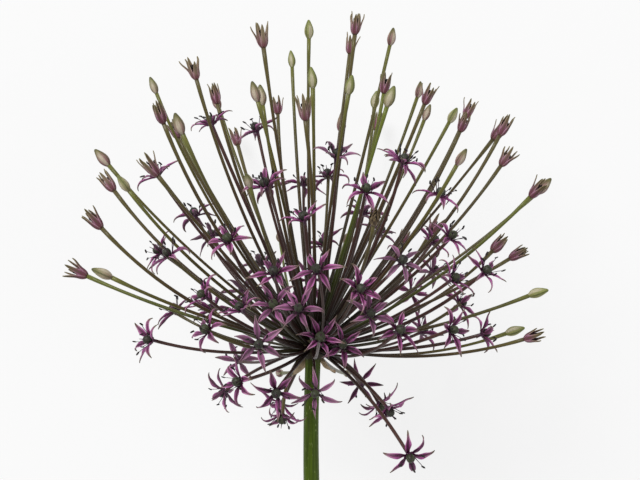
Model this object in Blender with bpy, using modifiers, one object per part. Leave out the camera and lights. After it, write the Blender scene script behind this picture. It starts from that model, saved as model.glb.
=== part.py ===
"""A cut allium flower head of the tumbleweed kind, lying on its side as it was picked.

A slim green stem, the scape, ends in a small knob. Stalks of very unequal length spread from the
knob like a firework. The shorter ones carry open florets: six narrow tepals round a dark ovary,
with six stamens. The longer ones carry buds, closed or just opening. Papery remains of the sheath
hang below the knob.

Metres, +Z up. The scape points along -Y and lies level. The lowest buds rest on the surface at
z = 0, and the origin is on that surface, under the middle of the head.
"""

import math
import random

import bmesh
import bpy
from mathutils import Matrix, Quaternion, Vector, kdtree

# Numbers of florets, by how far they have opened.
SEED = 3
OPEN_FLORETS = 56
GROWN_FLORETS = 10  # open too, and in one piece with the umbel
OPENING_FLORETS = 30
CLOSED_BUDS = 24
RESTING_BUDS = 6  # closed too, and the head rests on them

# The knob, and its height over the surface that the head lies on.
KNOB_RADIUS = 0.0078
KNOB_HEIGHT = 0.110
KNOB_UNDERSIDE = 0.0060
ROOT_DEPTH = 0.62  # where a stalk starts, as a share of the knob's radius

# The buds that the head rests on stand in this ring on the surface, round the head's weight.
RESTING_MIDDLE = 0.018  # from under the knob, towards the head's top
RESTING_RING = (0.038, 0.044)
RESTING_REACH = 0.150  # before it is shortened to the surface

# How far a stalk reaches from the knob, by its angle from the head's axis in degrees.
SHORT_REACH = ((0, 0.116), (45, 0.105), (70, 0.094), (90, 0.084), (110, 0.066), (126, 0.058))
LONG_REACH = ((0, 0.156), (45, 0.148), (60, 0.131), (75, 0.119), (92, 0.112), (108, 0.080), (135, 0.066))
SHORT_SPREAD = (-0.30, 0.22, -0.08)  # lowest, highest and commonest share that is added to it
LONG_SPREAD = (-0.24, 0.06, 0.0)

# How the stalks are spread round the knob.
LOWEST_ANGLE = {"open": 126, "opening": 108, "closed": 98}
RAISED_LEFT = {"open": 0.0, "opening": 0.2, "closed": 0.2}  # how much nearer the axis on the left
DROOPING = ((117, 48, 0.060), (119, 58, 0.097))  # two open florets: both angles, and their reach
CANDIDATES = 26
SPARSE_BELOW = 88  # stalks stand further apart past this angle
SPARSENESS = 0.52
SHARE_BELOW = {"open": 0.30, "opening": 0.14, "closed": 0.10}
FEWER_DOWN = 1.8  # the further down past the side, the fewer
FULLNESS = 2.6  # how much fuller of open florets the head is above and below than at its sides
CROWDING = 1.4  # how much fuller of buds it is round its axis

# How the stalks bend: they leave the knob low and curve up towards the head's axis.
UPWARD_BEND = 13
LOWEST_ROOT = 106
SIDEWAYS_BEND = 9
STALK_RADIUS = 0.00102  # from the middle to a corner of its three-sided section
STALK_SEGMENTS = {"open": 2, "opening": 3, "closed": 3}

# An open floret. Its ring is threaded on the stalk, under the ovary.
RING_INNER = 0.00158
GROWN_INNER = 0.0004
RING_OUTER = 0.0026
RING_DEPTH = 0.0010
NOD = 24  # how far a floret may lean from its stalk's line, in degrees
TEPALS = 6
TEPAL_LENGTH = 0.0121
TEPAL_KEEL = 0.0009
# Along a tepal: the share of its length, its half width there and how far it has bent back.
TEPAL_STATIONS = ((0.38, 0.00150, 14), (0.36, 0.00115, 0), (0.26, 0, -16))
LIFT_RANGE = (-12, 26)  # how far the tepals rise towards the front, in degrees
TEPAL_VARIATION = 7
STAMEN_TIP = (0.0060, 0.0058)  # out from the floret's axis, and forward
OVARY = ((0.0015, 0.0009), (0.0035, 0.0026))
OVARY_TIP = 0.0064
CLEAR_OF_STALKS = 0.0028

# Buds: places along their axis from the stalk's end, and the radius there.
CLOSED_BUD = ((0.0, 0.0011), (0.0036, 0.0028))
CLOSED_TIP = 0.0100
OPENING_BUD = ((0.0, 0.0013), (0.0046, 0.0031))
OPENING_WALL = 0.0008
OPENING_TIPS = ((0.0044, 0.0108), (0.0024, 0.0120))  # outer and inner tepals: out, and forward
OPENING_SPREAD = 0.35  # a bud is further or less far open by up to this share
BUD_VARIATION = 0.12
PRESSED = 0.0007  # how far a bud that touches the surface is pressed flat

# The scape, from the knob to its cut end: places along it, sideways lean and radius.
SCAPE = ((0.0063, 0.0, 0.0039), (0.034, -0.0009, 0.0038), (0.066, -0.0008, 0.0040), (0.100, 0.0003, 0.0042))

# The papery remains of the sheath: angle round the scape, length and width.
VALVES = ((150, 0.0130, 0.0078), (25, 0.0110, 0.0066))
VALVE_TOP = 0.0064
VALVE_GAP = 0.0003
VALVE_THICKNESS = 0.0006
VALVE_SPLAY = 34

COLOURS = {
    "scape": ((0.085, 0.170, 0.020), 0.45),
    "umbel": ((0.115, 0.105, 0.048), 0.55),
    "sheath": ((0.52, 0.40, 0.27), 0.75),
    "tepal": ((0.235, 0.055, 0.215), 0.50),
}
FORWARD = Vector((0, 0, 1))


def read_off(line, angle):
    """The value at an angle, on the line through (angle, value) points."""
    for (low, first), (high, second) in zip(line, line[1:]):
        if angle <= high:
            return first + (second - first) * (angle - low) / (high - low)
    return line[-1][1]


def heading(polar, azimuth):
    """The unit vector at an angle from the head's axis, +Y, and an angle round it from +X."""
    out = math.sin(math.radians(polar))
    along = math.cos(math.radians(polar))
    turn = math.radians(azimuth)
    return Vector((out * math.cos(turn), along, out * math.sin(turn)))


class Floret:
    """One stalk with what it carries. The stalk is a curve from root by handle to end."""

    def __init__(self, index, stage, polar, azimuth, draw, reach=None):
        self.index = index
        self.stage = stage
        line, spread = (SHORT_REACH, SHORT_SPREAD) if stage == "open" else (LONG_REACH, LONG_SPREAD)
        reach = reach or read_off(line, polar) * (1 + draw.triangular(*spread))
        bend = UPWARD_BEND * math.sin(math.radians(min(polar, 90))) * draw.uniform(0.3, 1.6)
        low = min(polar + bend, max(LOWEST_ROOT, polar - 22))
        start = heading(low, azimuth + draw.uniform(-SIDEWAYS_BEND, SIDEWAYS_BEND))
        self.root = start * KNOB_RADIUS * ROOT_DEPTH
        self.handle = self.root + start * reach * 0.5
        self.end = heading(polar, azimuth) * reach
        self.size = 1 + draw.uniform(-BUD_VARIATION, BUD_VARIATION)
        self.spread = 1 + draw.uniform(-OPENING_SPREAD, OPENING_SPREAD)
        self.lift = draw.uniform(*LIFT_RANGE)
        self.turn = draw.uniform(0, 60)
        self.nod = draw.uniform(0, NOD) if stage == "open" else 0.0
        self.nod_way = draw.uniform(0, 360)
        self.tepals = [
            (draw.uniform(-1, 1) * TEPAL_VARIATION, draw.uniform(0.88, 1.06)) for _ in range(TEPALS)
        ]

    def stretch(self, share):
        """Makes the stalk longer or shorter, along the same curve."""
        self.handle = self.root + (self.handle - self.root) * share
        self.end = self.root + (self.end - self.root) * share

    def point(self, share):
        """A point on the stalk, from 0 at its root to 1 at its end."""
        back = 1 - share
        return self.root * back * back + self.handle * (2 * share * back) + self.end * share * share

    def facing(self, share=1.0):
        """The way that the stalk runs there."""
        return ((self.handle - self.root) * (1 - share) + (self.end - self.handle) * share).normalized()

    def nodding(self):
        """The way that the floret or bud itself faces."""
        way = math.radians(self.nod_way)
        nod = Quaternion((math.cos(way), math.sin(way), 0), math.radians(self.nod))
        return FORWARD.rotation_difference(self.facing()) @ nod @ FORWARD

    def place(self):
        """The matrix that carries a floret or bud from its own frame, facing +Z, to the stalk's end."""
        turn = FORWARD.rotation_difference(self.nodding()) @ Quaternion(FORWARD, math.radians(self.turn))
        return Matrix.LocRotScale(self.end, turn, None)

    def tip_length(self):
        """How far the bud reaches past the stalk's end."""
        return {"open": OVARY_TIP, "opening": OPENING_TIPS[1][1], "closed": CLOSED_TIP}[self.stage] * self.size

    def rest_on_surface(self):
        """Shortens a stalk that would reach below the surface, so that its bud is pressed on it."""
        lowest = -KNOB_HEIGHT - PRESSED
        past = self.facing().z * self.tip_length()
        if self.stage != "open" and self.end.z + past < lowest:
            self.stretch((lowest - past - self.root.z) / (self.end.z - self.root.z))

    def midline(self, number):
        """A tepal's middle line in the floret's own frame, as (out, forward, slope) from ring to tip."""
        bent, long = self.tepals[number]
        out, ahead = RING_OUTER * math.cos(math.pi / TEPALS), RING_DEPTH / 2
        line = []
        for share, _, rise in TEPAL_STATIONS:
            slope = math.radians(self.lift + bent + rise)
            out += math.cos(slope) * share * TEPAL_LENGTH * long
            ahead += math.sin(slope) * share * TEPAL_LENGTH * long
            line.append((out, ahead, slope))
        return line

    def tepal_points(self):
        """Points along the middles of the tepals, where they stand on the head."""
        place = self.place()
        found = []
        for number in range(TEPALS):
            angle = math.radians(60 * number + 30)
            last = (RING_OUTER, RING_DEPTH / 2)
            for out, ahead, _ in self.midline(number):
                for share in (0.5, 1.0):
                    at_out = last[0] + (out - last[0]) * share
                    at_ahead = last[1] + (ahead - last[1]) * share
                    here = (at_out * math.cos(angle), at_out * math.sin(angle), at_ahead)
                    found.append(place @ Vector(here))
                last = (out, ahead)
        return found


def resting_headings():
    """The headings of the buds that the head rests on."""
    found = []
    for number in range(RESTING_BUDS):
        angle = math.tau * number / RESTING_BUDS
        out, along = RESTING_RING[0] * math.cos(angle), RESTING_RING[1] * math.sin(angle)
        spot = Vector((out, RESTING_MIDDLE + along, -KNOB_HEIGHT))
        azimuth = math.degrees(math.atan2(spot.z, spot.x))
        found.append((math.degrees(spot.angle(Vector((0, 1, 0)))), azimuth))
    return found


def pick_heading(stage, taken, draw):
    """Of some drawn headings, the one that stands furthest from those taken."""
    best = None
    for _ in range(CANDIDATES):
        if draw.random() < SHARE_BELOW[stage]:
            height = math.cos(math.radians(LOWEST_ANGLE[stage])) * draw.random() ** FEWER_DOWN
        else:
            height = draw.uniform(0, 1)
        azimuth = draw.uniform(0, 360)
        leftness = max(0.0, -math.cos(math.radians(azimuth)))
        polar = math.degrees(math.acos(height)) * (1 - RAISED_LEFT[stage] * leftness)
        here = heading(polar, azimuth)
        room = min((here.angle(other) for other in taken), default=math.pi)
        if polar > SPARSE_BELOW:
            room *= SPARSENESS
        room *= 1 + (FULLNESS * abs(here.z) if stage == "open" else CROWDING * max(0.0, here.y))
        if best is None or room > best[0]:
            best = (room, polar, azimuth)
    return best[1:]


def stalk_points(floret):
    """Points along a stalk, close enough together to measure a gap to it, and round its bud."""
    steps = 44
    found = [floret.point(step / steps) for step in range(steps // 4, steps + 1)]
    if floret.stage != "open":
        place = floret.place()
        for along, radius in ((0.0025, 0.0018), (0.0060, 0.0016)):
            for number in range(6):
                angle = math.radians(60 * number)
                found.append(place @ Vector((radius * math.cos(angle), radius * math.sin(angle), along)))
    return found


def room_round(floret, others):
    """The gap from a floret's tepals to the nearest of the other points, and to the surface."""
    return min(min(others.find(point)[2], point.z + KNOB_HEIGHT) for point in floret.tepal_points())


def tree_of(points):
    """The points in a tree that finds the nearest one quickly."""
    tree = kdtree.KDTree(len(points))
    for index, point in enumerate(points):
        tree.insert(point, index)
    tree.balance()
    return tree


def settle(floret, stalks, tepals):
    """Turns an open floret, and moves it along its stalk, until its tepals are clear of all others."""
    points = [p for other, found in stalks.items() if other is not floret for p in found]
    others = tree_of(points + tepals)
    best = None
    start, start_way = floret.turn, floret.nod_way
    for share in (1.0, 0.94, 1.13, 0.94):
        floret.stretch(share)
        for step in range(24):
            floret.turn = start + 10 * step
            floret.nod_way = start_way + 90 * (step // 6)
            room = room_round(floret, others)
            if best is None or room > best[0] + 0.0001:
                best = (room, floret.turn, floret.nod_way, floret.handle.copy(), floret.end.copy())
        if best[0] > CLEAR_OF_STALKS:
            break
    floret.turn, floret.nod_way, floret.handle, floret.end = best[1:]


def lay_out():
    """All the florets, spread round the knob with the same draw every time."""
    draw = random.Random(SEED)
    early = ["open"] * (OPEN_FLORETS + GROWN_FLORETS)
    late = ["opening"] * OPENING_FLORETS + ["closed"] * CLOSED_BUDS
    draw.shuffle(late)
    resting = resting_headings()
    taken = [heading(*place) for place in resting]
    florets = []
    for index, stage in enumerate(early + late):
        if index < len(DROOPING):
            polar, azimuth, reach = DROOPING[index]
        else:
            (polar, azimuth), reach = pick_heading(stage, taken, draw), None
        taken.append(heading(polar, azimuth))
        florets.append(Floret(index, stage, polar, azimuth, draw, reach))
    for index, (polar, azimuth) in enumerate(resting, len(florets)):
        florets.append(Floret(index, "closed", polar, azimuth, draw, RESTING_REACH))
    for floret in florets:
        floret.rest_on_surface()
    stalks = {floret: stalk_points(floret) for floret in florets}
    tepals = []
    for floret in florets[:len(early)]:
        settle(floret, stalks, tepals)
        tepals += floret.tepal_points()
    return florets


def middle(pieces):
    """The point on the surface that is under the middle of all the pieces."""
    graph = bpy.context.evaluated_depsgraph_get()
    spots = []
    for piece in pieces:
        shape = piece.evaluated_get(graph).to_mesh()
        spots += [piece.matrix_world @ corner.co for corner in shape.vertices]
    across, along = [spot.x for spot in spots], [spot.y for spot in spots]
    return Vector(((min(across) + max(across)) / 2, (min(along) + max(along)) / 2, -KNOB_HEIGHT))


def clear_scene():
    """Removes what the file opened with."""
    for old in list(bpy.data.objects):
        bpy.data.objects.remove(old)


def material_for(kind):
    """A plain finish in a part's colour."""
    colour, roughness = COLOURS[kind]
    made = bpy.data.materials.new(kind)
    made.use_nodes = True
    shader = made.node_tree.nodes["Principled BSDF"]
    shader.inputs["Base Color"].default_value = (*colour, 1)
    shader.inputs["Roughness"].default_value = roughness
    shader.inputs["Metallic"].default_value = 0.0
    return made


def object_from(bm, name, material, collection):
    """Closes the mesh's ends and makes an object of it."""
    bmesh.ops.holes_fill(bm, edges=bm.edges, sides=0)
    bmesh.ops.remove_doubles(bm, verts=bm.verts, dist=1e-7)
    bmesh.ops.recalc_face_normals(bm, faces=bm.faces)
    if bm.calc_volume(signed=True) < 0:
        bmesh.ops.reverse_faces(bm, faces=bm.faces)
    mesh = bpy.data.meshes.new(name)
    bm.to_mesh(mesh)
    bm.free()
    mesh.materials.append(material)
    made = bpy.data.objects.new(name, mesh)
    collection.objects.link(made)
    return made


def grow(bm, cap, change):
    """Extrudes the cap and carries it on by a matrix."""
    cap = bmesh.ops.extrude_discrete_faces(bm, faces=[cap])["faces"][0]
    bmesh.ops.transform(bm, matrix=change, verts=cap.verts)
    return cap


def sweep_stalk(bm, floret):
    """Grows the three-sided stalk. Returns its end cap and that cap's place."""
    segments = STALK_SEGMENTS[floret.stage]
    turn, facing, place, cap = None, None, None, None
    for step in range(segments + 1):
        share = step / segments
        last, facing = facing, floret.facing(share) if step < segments else floret.nodding()
        turn = last.rotation_difference(facing) @ turn if last else FORWARD.rotation_difference(facing)
        before, place = place, Matrix.LocRotScale(floret.point(share), turn, [STALK_RADIUS] * 3)
        if cap is None:
            bmesh.ops.create_circle(bm, cap_ends=True, segments=3, radius=1, matrix=place)
            cap = next(iter(bm.faces))
        else:
            cap = grow(bm, cap, place @ before.inverted())
    return cap, place


def swell(bm, cap, place, stations, size):
    """Grows the stalk on through (along, radius) stations, with twice its sides from the second on."""
    middle_of = place @ Vector((0, 0, 0))
    ahead = (place.to_3x3() @ FORWARD).normalized()
    turn = place.to_quaternion()
    for number, (along, radius) in enumerate(stations):
        now = Matrix.LocRotScale(middle_of + ahead * along * size, turn, [radius * size] * 3)
        cap = grow(bm, cap, now @ place.inverted())
        if number == 0:
            for edge in list(cap.edges):
                bmesh.utils.edge_split(edge, edge.verts[0], 0.5)
            for corner in cap.verts:
                corner.co = now.translation + (corner.co - now.translation).normalized() * radius * size
        place = now
    return cap


def peak(bm, face, tip):
    """Raises a face to a point."""
    found = bmesh.ops.poke(bm, faces=[face])["verts"]
    found[0].co = tip


def add_opening_tips(bm, cap, floret):
    """Turns the mouth of an opening bud into a hollow with six pointed tepals round it."""
    rim = bmesh.ops.inset_individual(bm, faces=[cap], thickness=OPENING_WALL * floret.size)["faces"]
    ahead = floret.facing()
    bmesh.ops.translate(bm, vec=-ahead * 0.0016, verts=cap.verts)
    for number, face in enumerate(rim):
        centre = face.calc_center_median()
        along = (centre - floret.end).dot(ahead)
        out = (centre - floret.end - ahead * along).normalized()
        wide, far = OPENING_TIPS[number % 2]
        peak(bm, face, floret.end + (out * wide * floret.spread + ahead * far) * floret.size)


def make_stalk(floret, material, collection):
    """One stalk with its ovary or its bud, as a closed mesh."""
    bm = bmesh.new()
    cap, place = sweep_stalk(bm, floret)
    ahead = floret.nodding()
    if floret.stage == "open":
        cap = swell(bm, cap, place, OVARY, 1.0)
        peak(bm, cap, floret.end + ahead * OVARY_TIP)
    elif floret.stage == "closed":
        cap = swell(bm, cap, place, CLOSED_BUD, floret.size)
        peak(bm, cap, floret.end + ahead * floret.tip_length())
    else:
        cap = swell(bm, cap, place, OPENING_BUD, floret.size)
        add_opening_tips(bm, cap, floret)
    return object_from(bm, f"stalk_{floret.index:03d}", material, collection)


def make_knob(material, collection):
    """The knob that the stalks grow from, flat below where it meets the scape."""
    bm = bmesh.new()
    upright = Matrix.Rotation(math.radians(-90), 4, "X")
    bmesh.ops.create_uvsphere(bm, u_segments=12, v_segments=8, radius=KNOB_RADIUS, matrix=upright)
    below = {"plane_co": (0, -KNOB_UNDERSIDE, 0), "plane_no": (0, -1, 0), "clear_outer": True}
    bmesh.ops.bisect_plane(bm, geom=[*bm.verts, *bm.edges, *bm.faces], **below)
    return object_from(bm, "umbel", material, collection)


def join_all(base, repeats):
    """Fuses the repeats into the base, and removes them."""
    union = base.modifiers.new("join", "BOOLEAN")
    union.operation = "UNION"
    union.operand_type = "COLLECTION"
    union.collection = repeats
    union.solver = "MANIFOLD"
    graph = bpy.context.evaluated_depsgraph_get()
    joined = bpy.data.meshes.new_from_object(base.evaluated_get(graph))
    base.modifiers.clear()
    base.data = joined
    for used in list(repeats.objects):
        bpy.data.objects.remove(used)
    bpy.data.collections.remove(repeats)


def press_flat(obj):
    """Cuts off what is pressed below the surface, which leaves small flat spots."""
    bm = bmesh.new()
    bm.from_mesh(obj.data)
    below = {"plane_co": (0, 0, -KNOB_HEIGHT), "plane_no": (0, 0, -1), "clear_outer": True}
    bmesh.ops.bisect_plane(bm, geom=[*bm.verts, *bm.edges, *bm.faces], **below)
    bmesh.ops.holes_fill(bm, edges=bm.edges, sides=0)
    bm.to_mesh(obj.data)
    bm.free()


def make_umbel(florets, collection):
    """The knob with all the stalks, ovaries and buds, in one piece as they grew."""
    material = material_for("umbel")
    repeats = bpy.data.collections.new("stalks")
    bpy.context.scene.collection.children.link(repeats)
    for floret in florets:
        make_stalk(floret, material, repeats)
    for floret in florets[OPEN_FLORETS:OPEN_FLORETS + GROWN_FLORETS]:
        make_open_floret(floret, GROWN_INNER, f"grown_{floret.index}", material, repeats)
    knob = make_knob(material, collection)
    join_all(knob, repeats)
    press_flat(knob)
    return knob


def add_tepal(bm, face, floret, number):
    """Extrudes a side of the ring into a narrow blade with a keel below, and points its end."""
    side_of = face.calc_center_median()
    angle = math.atan2(side_of.y, side_of.x)
    out_way = Vector((math.cos(angle), math.sin(angle), 0))
    across = Vector((-math.sin(angle), math.cos(angle), 0))
    corners = [(1 if v.co.dot(across) > 0 else -1, v.co.z > RING_DEPTH / 2) for v in face.verts]
    line = floret.midline(number)
    for (out, ahead, slope), (_, half, _) in zip(line[:-1], TEPAL_STATIONS):
        under = out_way * math.sin(slope) - FORWARD * math.cos(slope)
        face = bmesh.ops.extrude_discrete_faces(bm, faces=[face])["faces"][0]
        for corner, (side, on_top) in zip(face.verts, corners):
            offset = across * side * half if on_top else under * TEPAL_KEEL
            corner.co = out_way * out + FORWARD * ahead + offset
    out, ahead, _ = line[-1]
    peak(bm, face, out_way * out + FORWARD * ahead)


def make_open_floret(floret, inner, name, material, collection):
    """An open floret: a ring round the stalk, with six tepals and six stamens on broad feet."""
    bm = bmesh.new()
    section = ((inner, 0), (RING_OUTER, 0), (RING_OUTER, RING_DEPTH), (inner, RING_DEPTH))
    corners = [bm.verts.new((out, 0, ahead)) for out, ahead in section]
    edges = [bm.edges.new((a, b)) for a, b in zip(corners, corners[1:] + corners[:1])]
    turned = {"cent": (0, 0, 0), "axis": FORWARD, "angle": math.tau, "steps": TEPALS, "use_merge": True}
    bmesh.ops.spin(bm, geom=corners + edges, **turned)
    bmesh.ops.remove_doubles(bm, verts=bm.verts, dist=1e-6)
    bmesh.ops.recalc_face_normals(bm, faces=bm.faces)
    middles = [(face, face.calc_center_median()) for face in bm.faces]
    sides = [face for face, at in middles if at.to_2d().length > RING_OUTER * 0.8]
    tops = [face for face, at in middles if at.z > RING_DEPTH * 0.9]
    sides.sort(key=lambda face: math.atan2(face.calc_center_median().y, face.calc_center_median().x) % math.tau)
    for number, face in enumerate(sides):
        add_tepal(bm, face, floret, number)
    for face in tops:
        out_way = face.calc_center_median().to_2d().normalized().to_3d()
        peak(bm, face, out_way * STAMEN_TIP[0] + FORWARD * STAMEN_TIP[1])
    made = object_from(bm, name, material, collection)
    made.matrix_world = floret.place()
    return made


def make_scape(collection):
    """The stem, a gently leaning tapered tube with a clean cut end."""
    curve = bpy.data.curves.new("scape", "CURVE")
    curve.dimensions = "3D"
    curve.bevel_depth = 1.0
    curve.bevel_resolution = 4
    curve.use_fill_caps = True
    spline = curve.splines.new("POLY")
    spline.points.add(len(SCAPE) - 1)
    for point, (down, lean, radius) in zip(spline.points, SCAPE):
        point.co = (lean, -down, 0, 1)
        point.radius = radius
    curve.materials.append(material_for("scape"))
    made = bpy.data.objects.new("scape", curve)
    collection.objects.link(made)
    return made


def make_valve(name, angle, length, width, material, collection):
    """One dry, papery valve of the sheath, bent out from below the knob."""
    bm = bmesh.new()
    across_steps, down_steps = 2, 4
    bmesh.ops.create_grid(bm, x_segments=across_steps, y_segments=down_steps, size=0.5)
    for corner in bm.verts:
        side, down = corner.co.x, 0.5 - corner.co.y
        half = width * (0.34 + 0.8 * down - 1.06 * down * down)
        splay = math.radians(VALVE_SPLAY) * (0.3 + down)
        inside = SCAPE[0][2] + VALVE_GAP + VALVE_THICKNESS / 2
        out = inside + math.sin(splay) * length * down + 0.0012 * (0.25 - side * side)
        corner.co = (out, -VALVE_TOP - math.cos(splay) * length * down, side * 2 * half)
    mesh = bpy.data.meshes.new(name)
    bm.to_mesh(mesh)
    bm.free()
    mesh.materials.append(material)
    made = bpy.data.objects.new(name, mesh)
    collection.objects.link(made)
    made.matrix_world = Matrix.Rotation(math.radians(angle), 4, "Y")
    shell = made.modifiers.new("thickness", "SOLIDIFY")
    shell.thickness = VALVE_THICKNESS
    shell.offset = 0
    return made


def main():
    """Builds the flower head and stands its origin under its middle."""
    clear_scene()
    collection = bpy.data.collections.new("allium_flower_head")
    bpy.context.scene.collection.children.link(collection)
    florets = lay_out()
    pieces = [make_umbel(florets, collection), make_scape(collection)]
    tepal_material = material_for("tepal")
    for number, floret in enumerate(florets[:OPEN_FLORETS], 1):
        name = f"open_floret_{number:02d}"
        pieces.append(make_open_floret(floret, RING_INNER, name, tepal_material, collection))
    sheath_material = material_for("sheath")
    for number, (angle, length, width) in enumerate(VALVES, 1):
        name = f"sheath_valve_{number}"
        pieces.append(make_valve(name, angle, length, width, sheath_material, collection))
    stand = bpy.data.objects.new("head_place", None)
    collection.objects.link(stand)
    for piece in pieces:
        piece.parent = stand
    stand.location = -middle(pieces)


main()
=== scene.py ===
"""The looks of a cut allium flower head that lies on its side on a pale surface.

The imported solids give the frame: +Y runs along the head from the stem's cut end to its top, and
+Z is up. The florets are spread round the knob by the same seeded rule as the solids, and each
kind of part, such as the tepals or the buds, is one finely made piece that stands for them.
"""

from __future__ import annotations

import logging
import math
import random
from collections.abc import Callable, Mapping, Sequence
from dataclasses import dataclass, field
from enum import Enum
from typing import Any

import bpy
from mathutils import Matrix, Quaternion, Vector, kdtree, noise


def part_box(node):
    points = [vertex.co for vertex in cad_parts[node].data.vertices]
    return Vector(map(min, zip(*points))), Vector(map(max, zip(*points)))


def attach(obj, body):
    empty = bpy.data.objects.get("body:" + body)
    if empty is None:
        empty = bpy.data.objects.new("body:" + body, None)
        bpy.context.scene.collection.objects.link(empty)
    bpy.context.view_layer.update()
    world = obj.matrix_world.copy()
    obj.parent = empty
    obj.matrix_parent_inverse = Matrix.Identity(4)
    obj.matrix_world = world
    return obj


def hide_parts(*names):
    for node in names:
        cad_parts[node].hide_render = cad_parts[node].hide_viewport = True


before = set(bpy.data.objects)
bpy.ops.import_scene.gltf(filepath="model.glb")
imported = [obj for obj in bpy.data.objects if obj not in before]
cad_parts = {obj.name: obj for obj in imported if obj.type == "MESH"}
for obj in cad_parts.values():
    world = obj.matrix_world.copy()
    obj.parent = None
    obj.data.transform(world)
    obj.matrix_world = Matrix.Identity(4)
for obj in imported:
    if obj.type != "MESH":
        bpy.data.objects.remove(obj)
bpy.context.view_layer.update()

log = logging.getLogger("allium")

MM = 0.001
FORWARD = Vector((0, 0, 1))
CENTRED = Vector()
WHITE = (1, 1, 1, 1)
OPEN_NODES = 56  # how many of the solids are open florets

Line = Sequence[tuple[float, float]]
Stops = tuple[tuple[float, str], ...]
Weights = tuple[float, ...]  # what a sum starts at, and what each pattern adds where it is 1


def read_off(line: Line, at: float) -> float:
    """Reads a value off a line through points.

    Args:
        line: The points, as (place, value), in the order of their places.
        at: The place.

    Returns:
        The value there, held at the last one past the line's end.
    """
    for (low, first), (high, second) in zip(line, line[1:]):
        if at <= high:
            return first + (second - first) * (at - low) / (high - low)
    return line[-1][1]


def flow(line: Line, at: float) -> float:
    """Reads a value off a smooth curve through points.

    Args:
        line: The points, as (place, value), in the order of their places.
        at: The place.

    Returns:
        The value there, held at the ends past them.
    """
    at = min(line[-1][0], max(line[0][0], at))
    index = next(number for number in range(1, len(line)) if at <= line[number][0])
    (low, first), (high, second) = line[index - 1], line[index]
    slopes = []
    for number in (index - 1, index):
        before, after = line[max(0, number - 1)], line[min(len(line) - 1, number + 1)]
        slopes.append((after[1] - before[1]) / (after[0] - before[0]) * (high - low))
    share = (at - low) / (high - low)
    square, cube = share * share, share**3
    start = first * (2 * cube - 3 * square + 1) + slopes[0] * (cube - 2 * square + share)
    return start + second * (3 * square - 2 * cube) + slopes[1] * (cube - square)


def ease(low: float, high: float, at: float) -> float:
    """Steps smoothly from 0 to 1.

    Args:
        low: Where the step starts.
        high: Where it ends.
        at: The place.

    Returns:
        The value there.
    """
    share = min(1.0, max(0.0, (at - low) / (high - low)))
    return share * share * (3 - 2 * share)


def hump(at: float, wide: float) -> float:
    """A smooth rise, 1 high at 0, that has nearly gone at twice its width."""
    return math.exp(-((at / wide) ** 2))


def shares_of(steps: int) -> list[float]:
    """Even shares from 0 to 1, one more than there are steps."""
    return [step / steps for step in range(steps + 1)]


def sides_of(columns: int) -> list[float]:
    """Even places across a blade, from -1 to 1."""
    return [2 * column / (columns - 1) - 1 for column in range(columns)]


def heading(polar: float, azimuth: float) -> Vector:
    """Turns two angles into a direction.

    Args:
        polar: The angle from the head's axis, +Y, in degrees.
        azimuth: The angle round it from +X, in degrees.

    Returns:
        The unit vector.
    """
    out = math.sin(math.radians(polar))
    along = math.cos(math.radians(polar))
    turn = math.radians(azimuth)
    return Vector((out * math.cos(turn), along, out * math.sin(turn)))


def outward(angle: float) -> tuple[Vector, Vector]:
    """Finds the ways out and aside in a floret's own frame.

    Args:
        angle: The angle round the floret, in radians.

    Returns:
        The unit vector away from the floret's axis, and the one to the side of it.
    """
    out_way = Vector((math.cos(angle), math.sin(angle), 0))
    return out_way, Vector((-math.sin(angle), math.cos(angle), 0))


def facing_place(at: Vector, ahead: Vector) -> Matrix:
    """The matrix that carries a part from its own frame, facing +Z, to a point."""
    return Matrix.LocRotScale(at, FORWARD.rotation_difference(ahead), None)


def curve_point(foot: Vector, handle: Vector, tip: Vector, share: float) -> Vector:
    """Finds a point on a bent line.

    Args:
        foot: Where the line starts.
        handle: What it bends towards.
        tip: Where it ends.
        share: How far along it the point is, from 0 to 1.

    Returns:
        The point.
    """
    back = 1 - share
    return foot * back * back + handle * (2 * share * back) + tip * share * share


def ring(
    place: Matrix,
    ahead: float,
    radius: float | Callable[[float], float],
    sides: int,
    flat: float = 1.0,
    aside: Vector = CENTRED,
) -> list[Vector]:
    """Makes a round or lobed row of points.

    Args:
        place: The matrix of the part's own frame.
        ahead: How far along +Z the row stands.
        radius: Its radius, or what gives the radius at an angle.
        sides: Its number of points.
        flat: Its other radius, as a share of the first.
        aside: How far the row's middle stands off the frame's axis.

    Returns:
        The points.
    """
    middle = aside + FORWARD * ahead
    found = []
    for number in range(sides):
        angle = math.tau * number / sides
        wide = radius(angle) if callable(radius) else radius
        off = Vector((wide * math.cos(angle), wide * flat * math.sin(angle), 0))
        found.append(place @ (off + middle))
    return found


# The head's growth -----------------------------------------------------------------------------


class Stage(Enum):
    """How far a floret has opened."""

    OPEN = "open"
    OPENING = "opening"
    CLOSED = "closed"


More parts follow.
